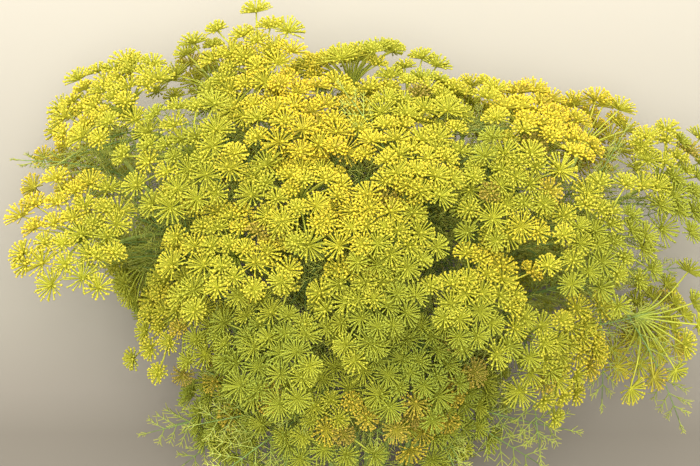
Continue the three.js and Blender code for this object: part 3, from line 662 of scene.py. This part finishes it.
# ---- Skins: points, triangles, and two numbers on every point ----
class Skin:
    """One piece's surface. `ripe` and `tone` are the two numbers that its colours go by."""

    def __init__(self):
        self.points = []
        self.faces = []
        self.ripe = []
        self.tone = []
        self.count = 0

    def add(self, points, faces, ripe, tone):
        """Copies of one shape: points (copies, n, 3) and the faces of one copy, (m, 3).

        ripe and tone hold a number for each copy, or rows with a number for each point: one row for all
        copies, or a row for each.
        """
        copies, size = points.shape[:2]
        shift = self.count + size * np.arange(copies)[:, None, None]
        self.points.append(points.reshape(-1, 3))
        self.faces.append((faces[None] + shift).reshape(-1, 3))
        for kept, value in ((self.ripe, ripe), (self.tone, tone)):
            value = np.asarray(value, float)
            value = value[:, None] if value.ndim == 1 else value
            kept.append(np.broadcast_to(value, (copies, size)).reshape(-1))
        self.count += copies * size

    def tubes(self, paths, radii, sides, ripe, tones, ribs=0.0, first_cap=True, last_cap=True):
        """Tubes along paths (copies, steps, 3), with a row of radii and a row of tones for the steps."""
        copies, steps = paths.shape[:2]
        axes = np.empty_like(paths)
        axes[:, 1:-1] = paths[:, 2:] - paths[:, :-2]
        axes[:, 0] = paths[:, 1] - paths[:, 0]
        axes[:, -1] = paths[:, -1] - paths[:, -2]
        axes = unit(axes)
        side, _ = frames_of(axes[:, 0])
        rings = []
        for k in range(steps):
            side = unit(side - axes[:, k] * dot(side, axes[:, k])[:, None])
            other = np.cross(axes[:, k], side)
            rings.append(paths[:, k, None] + ring_about(side, other, sides, ribs) * radii[k])
        points = np.stack(rings, 1).reshape(copies, steps * sides, 3)
        i = np.arange(sides)
        nxt = (i + 1) % sides
        wall = np.vstack([np.stack([i, nxt, nxt + sides], -1), np.stack([i, nxt + sides, i + sides], -1)])
        faces = [wall + k * sides for k in range(steps - 1)]
        last = (steps - 1) * sides
        if first_cap:
            faces.append([[0, k + 1, k] for k in range(1, sides - 1)])
        if last_cap:
            faces.append([[last, last + k, last + k + 1] for k in range(1, sides - 1)])
        self.add(points, np.vstack(faces), ripe, np.repeat(tones, sides)[None])

    def hollow_end(self, centre, axis, radius, sides, ribs):
        """The cut end of a hollow stem: a rim, a wall going in and a pale bottom."""
        side, other = across_of(axis)
        rim = ring_about(side, other, sides, ribs) * radius
        bore = ring_about(side, other, sides) * (HOLLOW_SHARE * radius)
        bottom = centre + axis * HOLLOW_DEPTH
        points = np.vstack([centre + rim, centre + bore, bottom + bore, [bottom]])
        i = np.arange(sides)
        nxt = (i + 1) % sides
        middle = np.full(sides, 3 * sides)
        faces = [np.stack(corners, -1) for corners in (
            (i, nxt + sides, nxt), (i, i + sides, nxt + sides),
            (i + sides, nxt + 2 * sides, nxt + sides), (i + sides, i + 2 * sides, nxt + 2 * sides),
            (i + 2 * sides, middle, nxt + 2 * sides))]
        self.add(points[None], np.vstack(faces), [0.0], [1.0])

    def mesh(self, name, material):
        """The piece itself, in metres, with what hangs too low pressed on the table."""
        points = np.vstack(self.points)
        sunk = points[:, 2] < PRESSED
        points[sunk, 2] = PRESSED * np.exp(points[sunk, 2] / PRESSED - 1)
        points /= MILLIMETRES
        faces = np.vstack(self.faces)
        mesh = bpy.data.meshes.new(name)
        mesh.from_pydata(points.tolist(), [], faces.tolist())
        for label, kept in (("ripe", self.ripe), ("tone", self.tone)):
            values = mesh.attributes.new(label, "FLOAT", "POINT")
            values.data.foreach_set("value", np.concatenate(kept).astype(np.float32))
        mesh.polygons.foreach_set("use_smooth", np.ones(len(faces), bool))
        mesh.materials.append(material)
        piece = bpy.data.objects.new(name, mesh)
        bpy.context.scene.collection.objects.link(piece)
        return piece


# ---- Florets ----
def floret_shape(sides, wide, crown, foot):
    """A small closed cup of petals, with its foot on the pedicel: points, faces and tones."""
    angle = 2 * math.pi * np.arange(sides) / sides
    ring = np.stack([np.cos(angle) * wide, np.sin(angle) * wide, np.zeros(sides)], -1)
    points = np.vstack([ring, [0, 0, crown], [0, 0, foot]])
    faces = [[i, (i + 1) % sides, sides] for i in range(sides)]
    faces += [[(i + 1) % sides, i, sides + 1] for i in range(sides)]
    tones = [1.0] * (sides + 1) + [FOOT_TONE]
    return points, np.array(faces), tones


OPEN_FLORET = floret_shape(sides=5, wide=1.3, crown=0.8, foot=-2.4)
BUD = floret_shape(sides=4, wide=1.0, crown=0.9, foot=-2.8)


def ripeness_and_shade_at(place):
    """How far a place on the mass has come into bloom. Its rise along y is also painted shade, darkening
    the florets towards the band.
    """
    # painted shade as well as ripeness: less ripe, darker florets towards the band
    ripe = BAND_RIPENESS_WITH_SHADE + RIPENESS_AND_LIGHT_GAIN * share_along(place[1], RIPENESS_AND_SHADE_RUN)
    for spots, gain in ((FULL_BLOOM, BLOOM_GAIN), (BUDDING, -BUDDING_LOSS)):
        for x, y, size in spots:
            near = math.hypot(place[0] - x, place[1] - y) / size
            ripe += gain * math.exp(-near * near)
    return ripe


# ---- One umbel ----
def limits_of(umbel, umbels):
    """What an umbel's umbellets stay behind: planes by a point, the way out and a gap."""
    limits = [(umbel.hub + umbel.facing * (UMBEL_HEIGHT + TOP_ROOM), umbel.facing, 0.0)]
    for near in umbels:
        way = near.middle - umbel.middle
        size = np.linalg.norm(way)
        if near is not umbel and size <= NEAR_UMBEL:
            limits.append((umbel.middle + way / 2, way / size, UMBEL_GAP / 2 - CROSSING))
    limits.append((np.zeros(3), -UP, -LEVELLING))
    limits.append((UP * MOST_HEIGHT, UP, 0.0))
    return limits


def stands_out(axis, radius, way):
    """How far an umbellet with this axis stands out in a direction."""
    along = axis @ way
    tips = TIP_RISE * along + radius * math.sqrt(max(0, 1 - along * along))
    return max(MIDDLE_RISE * along, tips) + LEVELLING


def grow_umbellets(umbel, umbels, rng):
    """Middles, axes, radii and ripeness of an umbel's umbellets, drawn in where room is short."""
    side, other = across_of(umbel.facing)
    limits = limits_of(umbel, umbels)
    ahead = played(rng, UMBEL_RIPE_PLAY)
    upright = UPRIGHT + UPRIGHT_GAIN * share_along(umbel.middle[1], UPRIGHT_RUN)
    ends, axes, radii, ripes = [], [], [], []
    for k in range(UMBELLETS):
        spread = math.sqrt((k + FIRST_STEP) / UMBELLETS)
        angle = umbel.turn + GOLDEN * k + played(rng, TURN_PLAY)
        reach = OUTER_REACH * spread * (1 + played(rng, REACH_PLAY))
        height = UMBEL_HEIGHT - OUTER_FALL * spread ** 3 + HEIGHT_PLAY * (rng.random() - SINKING)
        radius = (INNER_RADIUS + (OUTER_RADIUS - INNER_RADIUS) * spread) * drawn(rng, UMBELLET_SIZES)
        aside = (side * math.cos(angle) + other * math.sin(angle)) * reach
        ray = aside + umbel.facing * height
        axis = unit(unit(ray) + umbel.facing * AXIS_LEAN + ALONG * upright + played(rng, AXIS_PLAY, 3))
        share = 1 + (MOST_REACH - 1) * spread ** 2
        for point, way, gap in limits:
            room = (point - umbel.hub) @ way - stands_out(axis, radius, way) - gap
            wanted = ray @ way
            if wanted * share > room:
                share = room / wanted
        end = umbel.hub + ray * share
        ripe = min(MOST_RIPE, ripeness_and_shade_at(end) + ahead + played(rng, UMBELLET_RIPE_PLAY))
        if rng.random() < SPENT_SHARES[0 if end[1] < SPENT_LIMIT else 1]:
            ripe = drawn(rng, SPENT_RIPES)
        ends.append(end)
        axes.append(axis)
        radii.append(radius * min(1, LEAST_SIZE + SIZE_RISE * share))
        ripes.append(ripe)
    return [np.array(values) for values in (ends, axes, radii, ripes)]


def add_rays(skin, umbel, ends, roots, ripes):
    """Rays that arch out of the hub to the roots of the umbellets."""
    t = np.linspace(0, 1, RAY_POINTS)[None, :, None]
    start = umbel.hub + umbel.facing * HUB_FOOT
    bow = unit(ends - umbel.hub) * RAY_OUTWARD + umbel.facing * (1 - RAY_OUTWARD)
    size = length_of(roots - start)[:, None]
    bend = start + unit(bow) * size * RAY_BEND
    paths = start * (1 - t) ** 2 + 2 * bend[:, None] * t * (1 - t) + roots[:, None] * t * t
    radii = np.linspace(*RAY_RADII, RAY_POINTS)
    skin.tubes(paths, radii, RAY_SIDES, ripes, np.linspace(*RAY_TONES, RAY_POINTS))


def floret_places(roots, axes, radii, rng):
    """Where the florets of each umbellet stand, on a rounded fan about its axis."""
    every = (UMBELLETS, FLORETS)
    i = np.arange(FLORETS)
    polar = np.radians(FAN_START + FAN_SPREAD * ((i + 0.5) / FLORETS) ** FAN_CROWDING)[None]
    polar = polar + played(rng, FAN_PLAY, every)
    turn = GOLDEN * i[None] + 2 * math.pi * rng.random((UMBELLETS, 1)) + played(rng, FAN_TURN_PLAY, every)
    aside, across = frames_of(axes)
    out = radii[:, None] * np.sin(polar) * (1 + played(rng, OUT_PLAY, every))
    lift = (CUP_DEPTH + HEAD_RISE) * np.cos(polar) * (radii / MIDDLING_RADIUS)[:, None]
    lift = lift + played(rng, HEAD_PLAY, every)
    places = (roots[:, None] + aside[:, None] * (np.cos(turn) * out)[..., None]
              + across[:, None] * (np.sin(turn) * out)[..., None] + axes[:, None] * lift[..., None])
    return places.reshape(-1, 3)


def add_florets(skin, roots, axes, radii, ripes, rng):
    """Pedicels and, on each, an open floret or a bud."""
    heads = floret_places(roots, axes, radii, rng)
    feet = np.repeat(roots, FLORETS, axis=0)
    ways = unit(heads - feet)
    ripe = np.repeat(ripes, FLORETS)
    ripe = np.where(ripe > SPENT_FROM, ripe, ripe + played(rng, FLORET_RIPE_PLAY, len(heads))).clip(0, 1)
    skin.tubes(np.stack([feet, heads], 1), PEDICEL_RADII, THREAD_SIDES, ripe, PEDICEL_TONES,
               first_cap=False, last_cap=False)
    side, other = frames_of(ways)
    twist = 2 * math.pi * rng.random(len(heads))[:, None]
    side, other = side * np.cos(twist) + other * np.sin(twist), other * np.cos(twist) - side * np.sin(twist)
    opened = ripe > OPEN_FROM
    for chosen, (shape, faces, tones) in ((opened, OPEN_FLORET), (~opened, BUD)):
        if not chosen.any():
            continue
        grown = drawn(rng, FLORET_SIZES, chosen.sum())[:, None, None]
        points = (side[chosen][:, None] * shape[:, 0:1] + other[chosen][:, None] * shape[:, 1:2]
                  + ways[chosen][:, None] * shape[:, 2:3]) * grown
        skin.add(heads[chosen][:, None] + points, faces, ripe[chosen], [tones])


def umbel_piece(name, umbel, umbels, material):
    rng = np.random.default_rng(umbel.seed)
    ends, axes, radii, ripes = grow_umbellets(umbel, umbels, rng)
    roots = ends - axes * CUP_DEPTH
    skin = Skin()
    add_rays(skin, umbel, ends, roots, ripes)
    add_florets(skin, roots, axes, radii, ripes, rng)
    return skin.mesh(name, material)


# ---- Stems with their fronds ----
def leaf_threads(root, tip, across, reach, rng):
    """A side leaf's own line and the threads it is cut into, each from a start to an end."""
    lean = unit(tip - root)
    up = np.cross(lean, across)
    tip = tip + up * LEAF_LIFT * reach * (rng.random() - 0.5)
    flat = unit(np.cross(lean, unit(up)))
    threads = [(root, tip)]
    for cut in LEAF_CUTS:
        start = root + (tip - root) * cut
        for turn in (1, -1):
            size = reach * (CUT_REACH - CUT_FALL * cut) * drawn(rng, CUT_SIZES)
            aim = unit(lean * CUT_AHEAD + flat * turn * CUT_ASIDE + played(rng, CUT_PLAY, 3))
            threads.append((start, start + aim * size))
    return threads


def add_frond(skin, points, across, rng, length):
    """A midrib with pairs of side leaves, each cut into threads."""
    line = Spline(points)
    rib = line.at(np.linspace(0, 1, RIB_POINTS))
    rib[:, 2] = np.maximum(rib[:, 2], LEAF_HEIGHT)
    radii = np.linspace(*RIB_RADII, RIB_POINTS)
    skin.tubes(rib[None], radii, RIB_SIDES, [RIB_RIPE], np.zeros(RIB_POINTS))
    threads = []
    for share in LEAF_PLACES:
        root, way = line.at(share)[0], line.way(share)[0]
        reach = length * (THREAD_REACH - THREAD_FALL * share) * drawn(rng, LEAF_SIZES)
        if share == LEAF_PLACES[-1]:
            threads += leaf_threads(root, root + way * reach, across, reach, rng)
            continue
        for hand in (1, -1):
            tip = root + (way * THREAD_AHEAD + across * THREAD_ASIDE * hand) * reach
            threads += leaf_threads(root, tip, across * hand, reach, rng)
    paths = np.array(threads)
    paths[..., 2] = np.maximum(paths[..., 2], LEAF_HEIGHT)
    skin.tubes(paths, LEAF_RADII, THREAD_SIDES, drawn(rng, LEAF_RIPES, len(paths)), LEAF_TONES,
               first_cap=False, last_cap=False)


def add_sheath(skin, route, path):
    """The pale clasping base round the start of a side branch."""
    count = len(SHEATH_SWELLING)
    runs = np.concatenate([[0], np.cumsum(length_of(path[1:] - path[:-1]))])
    along = np.linspace(0, 1, count) * SHEATH
    centres = np.stack([np.interp(along, runs, path[:, k]) for k in range(3)], -1)
    skin.tubes(centres[None], route.radii[0] * SHEATH_SWELLING, SHEATH_SIDES, [0.0],
               np.linspace(*SHEATH_TONES, count), SHEATH_RIBS)


def add_stem(skin, route):
    """A main stem with its cut end, or a side branch with its sheath."""
    sections = len(route.points) - 1
    steps = sections * STEM_FINENESS + 1
    shares = np.linspace(0, 1, steps)
    path = Spline(route.points).at(shares)
    path[:, 2] = np.maximum(path[:, 2], STEM_HEIGHT)
    radii = np.interp(shares * sections, np.arange(sections + 1), route.radii)
    sides = BRANCH_SIDES if route.parent else STEM_SIDES
    skin.tubes(path[None], radii, sides, [0.0], np.linspace(*STEM_TONES, steps), STEM_RIBS, first_cap=False)
    if route.parent:
        add_sheath(skin, route, path)
    else:
        skin.hollow_end(path[0], unit(path[1] - path[0]), radii[0], sides, STEM_RIBS)


def frond_place(route, rng):
    """The share of a line at which a frond grows."""
    if route.parent:
        return drawn(rng, BRANCH_RANGE)
    least, more = STEM_RANGE
    return least + more * math.sqrt(rng.random())


def stays_inside(midrib):
    """Whether a frond keeps between the table and the flowers and inside the flower mass."""
    tip = midrib[-1] + (midrib[-1] - midrib[-2]) * TIP_REACH
    low, high = FROND_HEIGHTS
    outside = body_value(tip) > MASS_ROOM and tip[1] > MASS_START
    return low < tip[2] < high and not outside


def stem_piece(name, stem, routes, umbels, material):
    rng = np.random.default_rng(FROND_SEED + stem)
    skin = Skin()
    own = [route for route in routes if route.stem == stem]
    for route in own:
        add_stem(skin, route)
    midrib, across = clearest_frond(stem, routes, umbels)
    add_frond(skin, midrib, across, rng, FROND_LENGTH)
    for route in own:
        line = Spline(route.points)
        for _ in range(BRANCH_FRONDS if route.parent else STEM_FRONDS):
            place = frond_place(route, rng)
            root, onward = line.at(place)[0], line.way(place)[0]
            side, other = across_of(onward)
            angle = 2 * math.pi * rng.random()
            out = side * math.cos(angle) + other * math.sin(angle)
            length = drawn(rng, FROND_SIZES)
            midrib = midrib_points(root, onward, out, length)
            if stays_inside(midrib):
                add_frond(skin, midrib, np.cross(onward, out), rng, length)
    return skin.mesh(name, material)


# ---- The rubber band, wound three times round the stems ----
def band_piece(name, material):
    # the loop round the stems, corner by corner: x across them and z from the middle row
    height = 2 * ROW_PITCH + 2 * (STEM_RADIUS + BAND_GAP)
    half = (max(STEM_ROWS) - 1) / 2 * STEM_PITCH + STEM_RADIUS + BAND_GAP
    end = (STEM_ROWS[0] - 1) / 2 * STEM_PITCH + STEM_RADIUS
    corners = np.array([[-end, -height / 2], [end, -height / 2], [half, -height / 4], [half, height / 4],
                        [end, height / 2], [-end, height / 2], [-half, height / 4], [-half, -height / 4]])
    sizes = length_of(np.roll(corners, -1, 0) - corners)
    marks = np.concatenate([[0], np.cumsum(sizes)]) / sizes.sum()
    looped = np.vstack([corners, corners[:1]])
    # the strap's middle line
    t = np.arange(BAND_TURNS * BAND_STEPS) / (BAND_TURNS * BAND_STEPS)
    place = (t * BAND_TURNS) % 1
    flat = np.stack([np.interp(place, marks, looped[:, k]) for k in range(2)], -1)
    soft = sum(np.roll(flat, k, 0) for k in BAND_ROUNDING) / len(BAND_ROUNDING)
    ahead = np.roll(soft, -1, 0) - np.roll(soft, 1, 0)
    out = unit(np.stack([ahead[:, 1], -ahead[:, 0]], -1))
    level = BAND_THICKNESS / 2 + BAND_WANDER * np.sin(2 * math.pi * t)
    centre = soft + out * level[:, None]
    y = (BAND_WIDTH / 2 - BAND_EDGE) * np.cos(2 * math.pi * t)
    middle = np.stack([centre[:, 0], y, centre[:, 1] + height / 2 + BAND_THICKNESS], -1)
    outward = np.stack([out[:, 0], np.zeros(len(t)), out[:, 1]], -1)
    # its section, carried along that line
    wide, thick = STRAP
    flat_wide, flat_thick = STRAP_FLATS
    profile = [(-wide, -flat_thick), (-flat_wide, -thick), (flat_wide, -thick), (wide, -flat_thick),
               (wide, flat_thick), (flat_wide, thick), (-flat_wide, thick), (-wide, flat_thick)]
    rings = np.stack([middle + ALONG * a + outward * b for a, b in profile], 1)
    n, m = len(t), len(profile)
    i, k = np.meshgrid(np.arange(n), np.arange(m), indexing="ij")
    a, b = i * m + k, i * m + (k + 1) % m
    c, d = (i + 1) % n * m + (k + 1) % m, (i + 1) % n * m + k
    faces = np.vstack([np.stack([a, b, c], -1).reshape(-1, 3), np.stack([a, c, d], -1).reshape(-1, 3)])
    skin = Skin()
    skin.add(rings.reshape(1, -1, 3), faces, [0.0], [0.0])
    return skin.mesh(name, material)


# ---- Materials ----
# colours of a floret by its ripeness, and of its pedicel
FLORET_COLOURS = [(0.0, "8b9838"), (0.3, "aaae3a"), (0.5, "c4ba39"), (0.72, "dac639"), (0.9, "e7cb34"),
                  (0.96, "aa963a"), (1.0, "8d7c38")]
PEDICEL_COLOURS = [(0.0, "94a23a"), (0.5, "c8c83f"), (0.9, "dbcb3e"), (0.97, "9c8e3e")]
# of an umbel's green parts by their tone
RAY_COLOURS = [(0.0, "9fb350"), (0.3, "b5c04b"), (0.45, "c6c847"), (0.52, "c8ca42"), (1.0, "cdcb40")]
FLORET_TONES = (0.76, 0.98)          # where the floret's colour takes over
# of a stem by its tone: leaf threads and stems, their tips, sheaths, and the pith of a cut end
STEM_COLOURS = [(0.0, "7f9952"), (0.04, "a5b455"), (0.2, "d2cf5e"), (0.34, "b2b666"), (0.9, "cfd3a2")]
RUBBER_COLOURS = [(0.3, "b08450"), (0.7, "c79a63")]
RUBBER_GRAINS = (220.0, 900.0)       # scales of its blotches and of its fine bumps
BUMP_STRENGTH = 0.2
BUMP_HEIGHT = 0.0004                 # in metres
PATCHES = (0.3, 0.7)                 # the noise values between which a patch fades in
WHITE = (1, 1, 1, 1)
MIX_SHARE, MIX_FIRST, MIX_SECOND = 0, 6, 7   # the sockets of a Mix node that mixes colours


def linear(code):
    """A written sRGB colour as Blender's linear one."""
    parts = [int(code[k:k + 2], 16) / 255 for k in (0, 2, 4)]
    return tuple(x / 12.92 if x <= 0.04045 else ((x + 0.055) / 1.055) ** 2.4 for x in parts) + (1.0,)


def new_material(name, roughness, gloss):
    material = bpy.data.materials.new(name)
    material.use_nodes = True
    shader = material.node_tree.nodes["Principled BSDF"]
    shader.inputs["Roughness"].default_value = roughness
    shader.inputs["Specular IOR Level"].default_value = gloss
    return material, material.node_tree, shader


def feed(tree, socket, value):
    """Links a socket to another one, or sets it to a plain value."""
    if isinstance(value, bpy.types.NodeSocket):
        tree.links.new(value, socket)
    else:
        socket.default_value = value


def ramp(tree, value, stops):
    node = tree.nodes.new("ShaderNodeValToRGB")
    elements = node.color_ramp.elements
    while len(elements) < len(stops):
        elements.new(0.5)
    for element, (place, code) in zip(elements, stops):
        element.position = place
        element.color = linear(code)
    tree.links.new(value, node.inputs[0])
    return node.outputs[0]


def stretched(tree, value, limits):
    """The part of a value between two limits, as 0 to 1."""
    node = tree.nodes.new("ShaderNodeMapRange")
    node.inputs["From Min"].default_value, node.inputs["From Max"].default_value = limits
    tree.links.new(value, node.inputs["Value"])
    return node.outputs[0]


def noise(tree, scale):
    place = tree.nodes.new("ShaderNodeTexCoord")
    node = tree.nodes.new("ShaderNodeTexNoise")
    feed(tree, node.inputs["Scale"], scale)
    tree.links.new(place.outputs["Object"], node.inputs["Vector"])
    return node.outputs[0]


def carried(tree, name):
    """One of the two numbers that every point of a skin carries."""
    node = tree.nodes.new("ShaderNodeAttribute")
    node.attribute_name = name
    return node.outputs["Fac"]


def mix(tree, share, a, b, kind="MIX"):
    node = tree.nodes.new("ShaderNodeMix")
    node.data_type = "RGBA"
    node.blend_type = kind
    for socket, value in ((MIX_SHARE, share), (MIX_FIRST, a), (MIX_SECOND, b)):
        feed(tree, node.inputs[socket], value)
    return node.outputs[2]


def mottling_group():
    """Uneven growth: patches of a colour deepened, the same way on florets and on stems."""
    tree = bpy.data.node_groups.new("mottling", "ShaderNodeTree")
    for name, kind in (("Colour", "NodeSocketColor"), ("Deepened", "NodeSocketColor"),
                       ("Patch Scale", "NodeSocketFloat"), ("Share", "NodeSocketFloat")):
        tree.interface.new_socket(name, in_out="INPUT", socket_type=kind)
    tree.interface.new_socket("Colour", in_out="OUTPUT", socket_type="NodeSocketColor")
    taken = tree.nodes.new("NodeGroupInput")
    given = tree.nodes.new("NodeGroupOutput")
    patches = stretched(tree, noise(tree, taken.outputs["Patch Scale"]), PATCHES)
    shade = mix(tree, patches, taken.outputs["Deepened"], WHITE)
    colour = mix(tree, taken.outputs["Share"], taken.outputs["Colour"], shade, "MULTIPLY")
    tree.links.new(colour, given.inputs["Colour"])
    return tree


def mottled(tree, group, colour, deepened, scale, share):
    node = tree.nodes.new("ShaderNodeGroup")
    node.node_tree = group
    values = {"Colour": colour, "Deepened": linear(deepened), "Patch Scale": scale, "Share": share}
    for name, value in values.items():
        feed(tree, node.inputs[name], value)
    return node.outputs["Colour"]


def bloom_material(mottling):
    material, tree, shader = new_material("dill_bloom", roughness=0.7, gloss=0.25)
    ripe, tone = carried(tree, "ripe"), carried(tree, "tone")
    floret = ramp(tree, ripe, FLORET_COLOURS)
    pedicel = ramp(tree, ripe, PEDICEL_COLOURS)
    ray = ramp(tree, tone, RAY_COLOURS)
    green = mix(tree, tone, ray, pedicel)
    colour = mix(tree, stretched(tree, tone, FLORET_TONES), green, floret)
    uneven = mottled(tree, mottling, colour, deepened="d8d8c8", scale=60.0, share=0.5)
    tree.links.new(uneven, shader.inputs["Base Color"])
    return material


def stem_material(mottling):
    material, tree, shader = new_material("dill_stem", roughness=0.5, gloss=0.3)
    green = ramp(tree, carried(tree, "tone"), STEM_COLOURS)
    uneven = mottled(tree, mottling, green, deepened="b9c7a0", scale=45.0, share=0.6)
    tree.links.new(uneven, shader.inputs["Base Color"])
    return material


def rubber_material():
    material, tree, shader = new_material("rubber", roughness=0.55, gloss=0.4)
    blotches, grain = (noise(tree, scale) for scale in RUBBER_GRAINS)
    tree.links.new(ramp(tree, blotches, RUBBER_COLOURS), shader.inputs["Base Color"])
    bump = tree.nodes.new("ShaderNodeBump")
    bump.inputs["Strength"].default_value = BUMP_STRENGTH
    bump.inputs["Distance"].default_value = BUMP_HEIGHT
    tree.links.new(grain, bump.inputs["Height"])
    tree.links.new(bump.outputs[0], shader.inputs["Normal"])
    return material


# ---- Floor, light and camera, in metres ----
FLOOR_HALF = 6
FLOOR_SHADE_RUN = (0.15, 0.7)              # where in y the floor's painted shade fades from dark to light, standing in for the light falling off towards -Y
FLOOR_SHADE_COLOURS = [(0.12, "746f66"), (0.2, "827d74"), (0.35, "908c82"), (1.0, "a9a59b")]
ROOM_SLOPE = (0, 0.42, 0.2)          # how the room brightens towards +Y and upwards
ROOM_LEVEL = 0.5
ROOM_COLOURS = [(0.15, "4c4a45"), (0.5, "c6c2b8"), (0.75, "fffaf2")]
ROOM_STRENGTH = 2.1
LENS = 85                            # millimetres, as is the sensor
SENSOR = 36
VIEW_WIDTH = 0.662                   # seen across at the height of the flowers
VIEW_MIDDLE = 0.423
FLOWER_HEIGHT = 0.14


def floor_piece():
    half = FLOOR_HALF
    corners = [(-half, -half, 0), (half, -half, 0), (half, half, 0), (-half, half, 0)]
    mesh = bpy.data.meshes.new("floor")
    mesh.from_pydata(corners, [], [(0, 1, 2, 3)])
    material, tree, shader = new_material("pale_floor_painted_shade", roughness=0.9, gloss=0.2)
    place = tree.nodes.new("ShaderNodeTexCoord")
    split = tree.nodes.new("ShaderNodeSeparateXYZ")
    tree.links.new(place.outputs["Object"], split.inputs[0])
    # painted shade: the floor darkens towards -Y, as if less light reached the front
    colour = ramp(tree, stretched(tree, split.outputs["Y"], FLOOR_SHADE_RUN), FLOOR_SHADE_COLOURS)
    tree.links.new(colour, shader.inputs["Base Color"])
    mesh.materials.append(material)
    floor = bpy.data.objects.new("floor", mesh)
    bpy.context.scene.collection.objects.link(floor)


def soft_light(name, place, aim, size, power, colour):
    light = bpy.data.lights.new(name, "AREA")
    light.shape = "DISK"
    light.size = size
    light.energy = power
    light.color = colour
    lamp = bpy.data.objects.new(name, light)
    lamp.location = place
    lamp.rotation_euler = (Vector(aim) - Vector(place)).to_track_quat("-Z", "Y").to_euler()
    bpy.context.scene.collection.objects.link(lamp)


def room_light():
    """A pale room, brightest beyond the flowers and overhead, and dim in front."""
    world = bpy.data.worlds.new("room")
    world.use_nodes = True
    tree = world.node_tree
    place = tree.nodes.new("ShaderNodeTexCoord")
    beyond = tree.nodes.new("ShaderNodeVectorMath")
    beyond.operation = "DOT_PRODUCT"
    beyond.inputs[1].default_value = ROOM_SLOPE
    tree.links.new(place.outputs["Generated"], beyond.inputs[0])
    bright = tree.nodes.new("ShaderNodeMath")
    bright.operation = "ADD"
    bright.inputs[1].default_value = ROOM_LEVEL
    tree.links.new(beyond.outputs["Value"], bright.inputs[0])
    background = tree.nodes["Background"]
    background.inputs["Strength"].default_value = ROOM_STRENGTH
    tree.links.new(ramp(tree, bright.outputs[0], ROOM_COLOURS), background.inputs["Color"])
    bpy.context.scene.world = world


def straight_down_camera():
    camera = bpy.data.cameras.new("camera")
    camera.lens = LENS
    camera.sensor_width = SENSOR
    holder = bpy.data.objects.new("camera", camera)
    holder.location = (0, VIEW_MIDDLE, FLOWER_HEIGHT + VIEW_WIDTH * camera.lens / camera.sensor_width)
    holder.rotation_euler = (0, 0, 0)
    bpy.context.scene.collection.objects.link(holder)
    bpy.context.scene.camera = holder


# ---- The whole bunch ----
umbels = grow_umbels()
groups = share_out(umbels)
routes = first_routes(groups)
bend_clear(routes, umbels)
mottling = mottling_group()
bloom = bloom_material(mottling)
stem_green = stem_material(mottling)
for stem, group in enumerate(groups):
    piece = stem_piece(f"dill_stem_{stem + 1:02d}", stem, routes, umbels, stem_green)
    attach(piece, "root")
    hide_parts(f"leafy_stem_{stem + 1:02d}")
    for umbel, letter in zip(group, "abc"):
        piece = umbel_piece(f"dill_umbel_{stem + 1:02d}_{letter}", umbel, umbels, bloom)
        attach(piece, "root")
        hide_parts(f"umbel_{stem + 1:02d}_{letter}")
band = band_piece("wound_band", rubber_material())
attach(band, "root")
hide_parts("rubber_band")

# ---- Its stage ----
floor_piece()
soft_light("high_window", place=(-0.2, 1.4, 1.25), aim=(0, 0.42, 0.1), size=1.7, power=17,
           colour=(1.0, 0.975, 0.94))
soft_light("overhead_panel", place=(-0.05, 0.5, 2.3), aim=(0, 0.45, 0.1), size=1.4, power=32,
           colour=(1.0, 0.98, 0.95))
room_light()
bpy.context.scene.view_settings.view_transform = "Standard"
straight_down_camera()
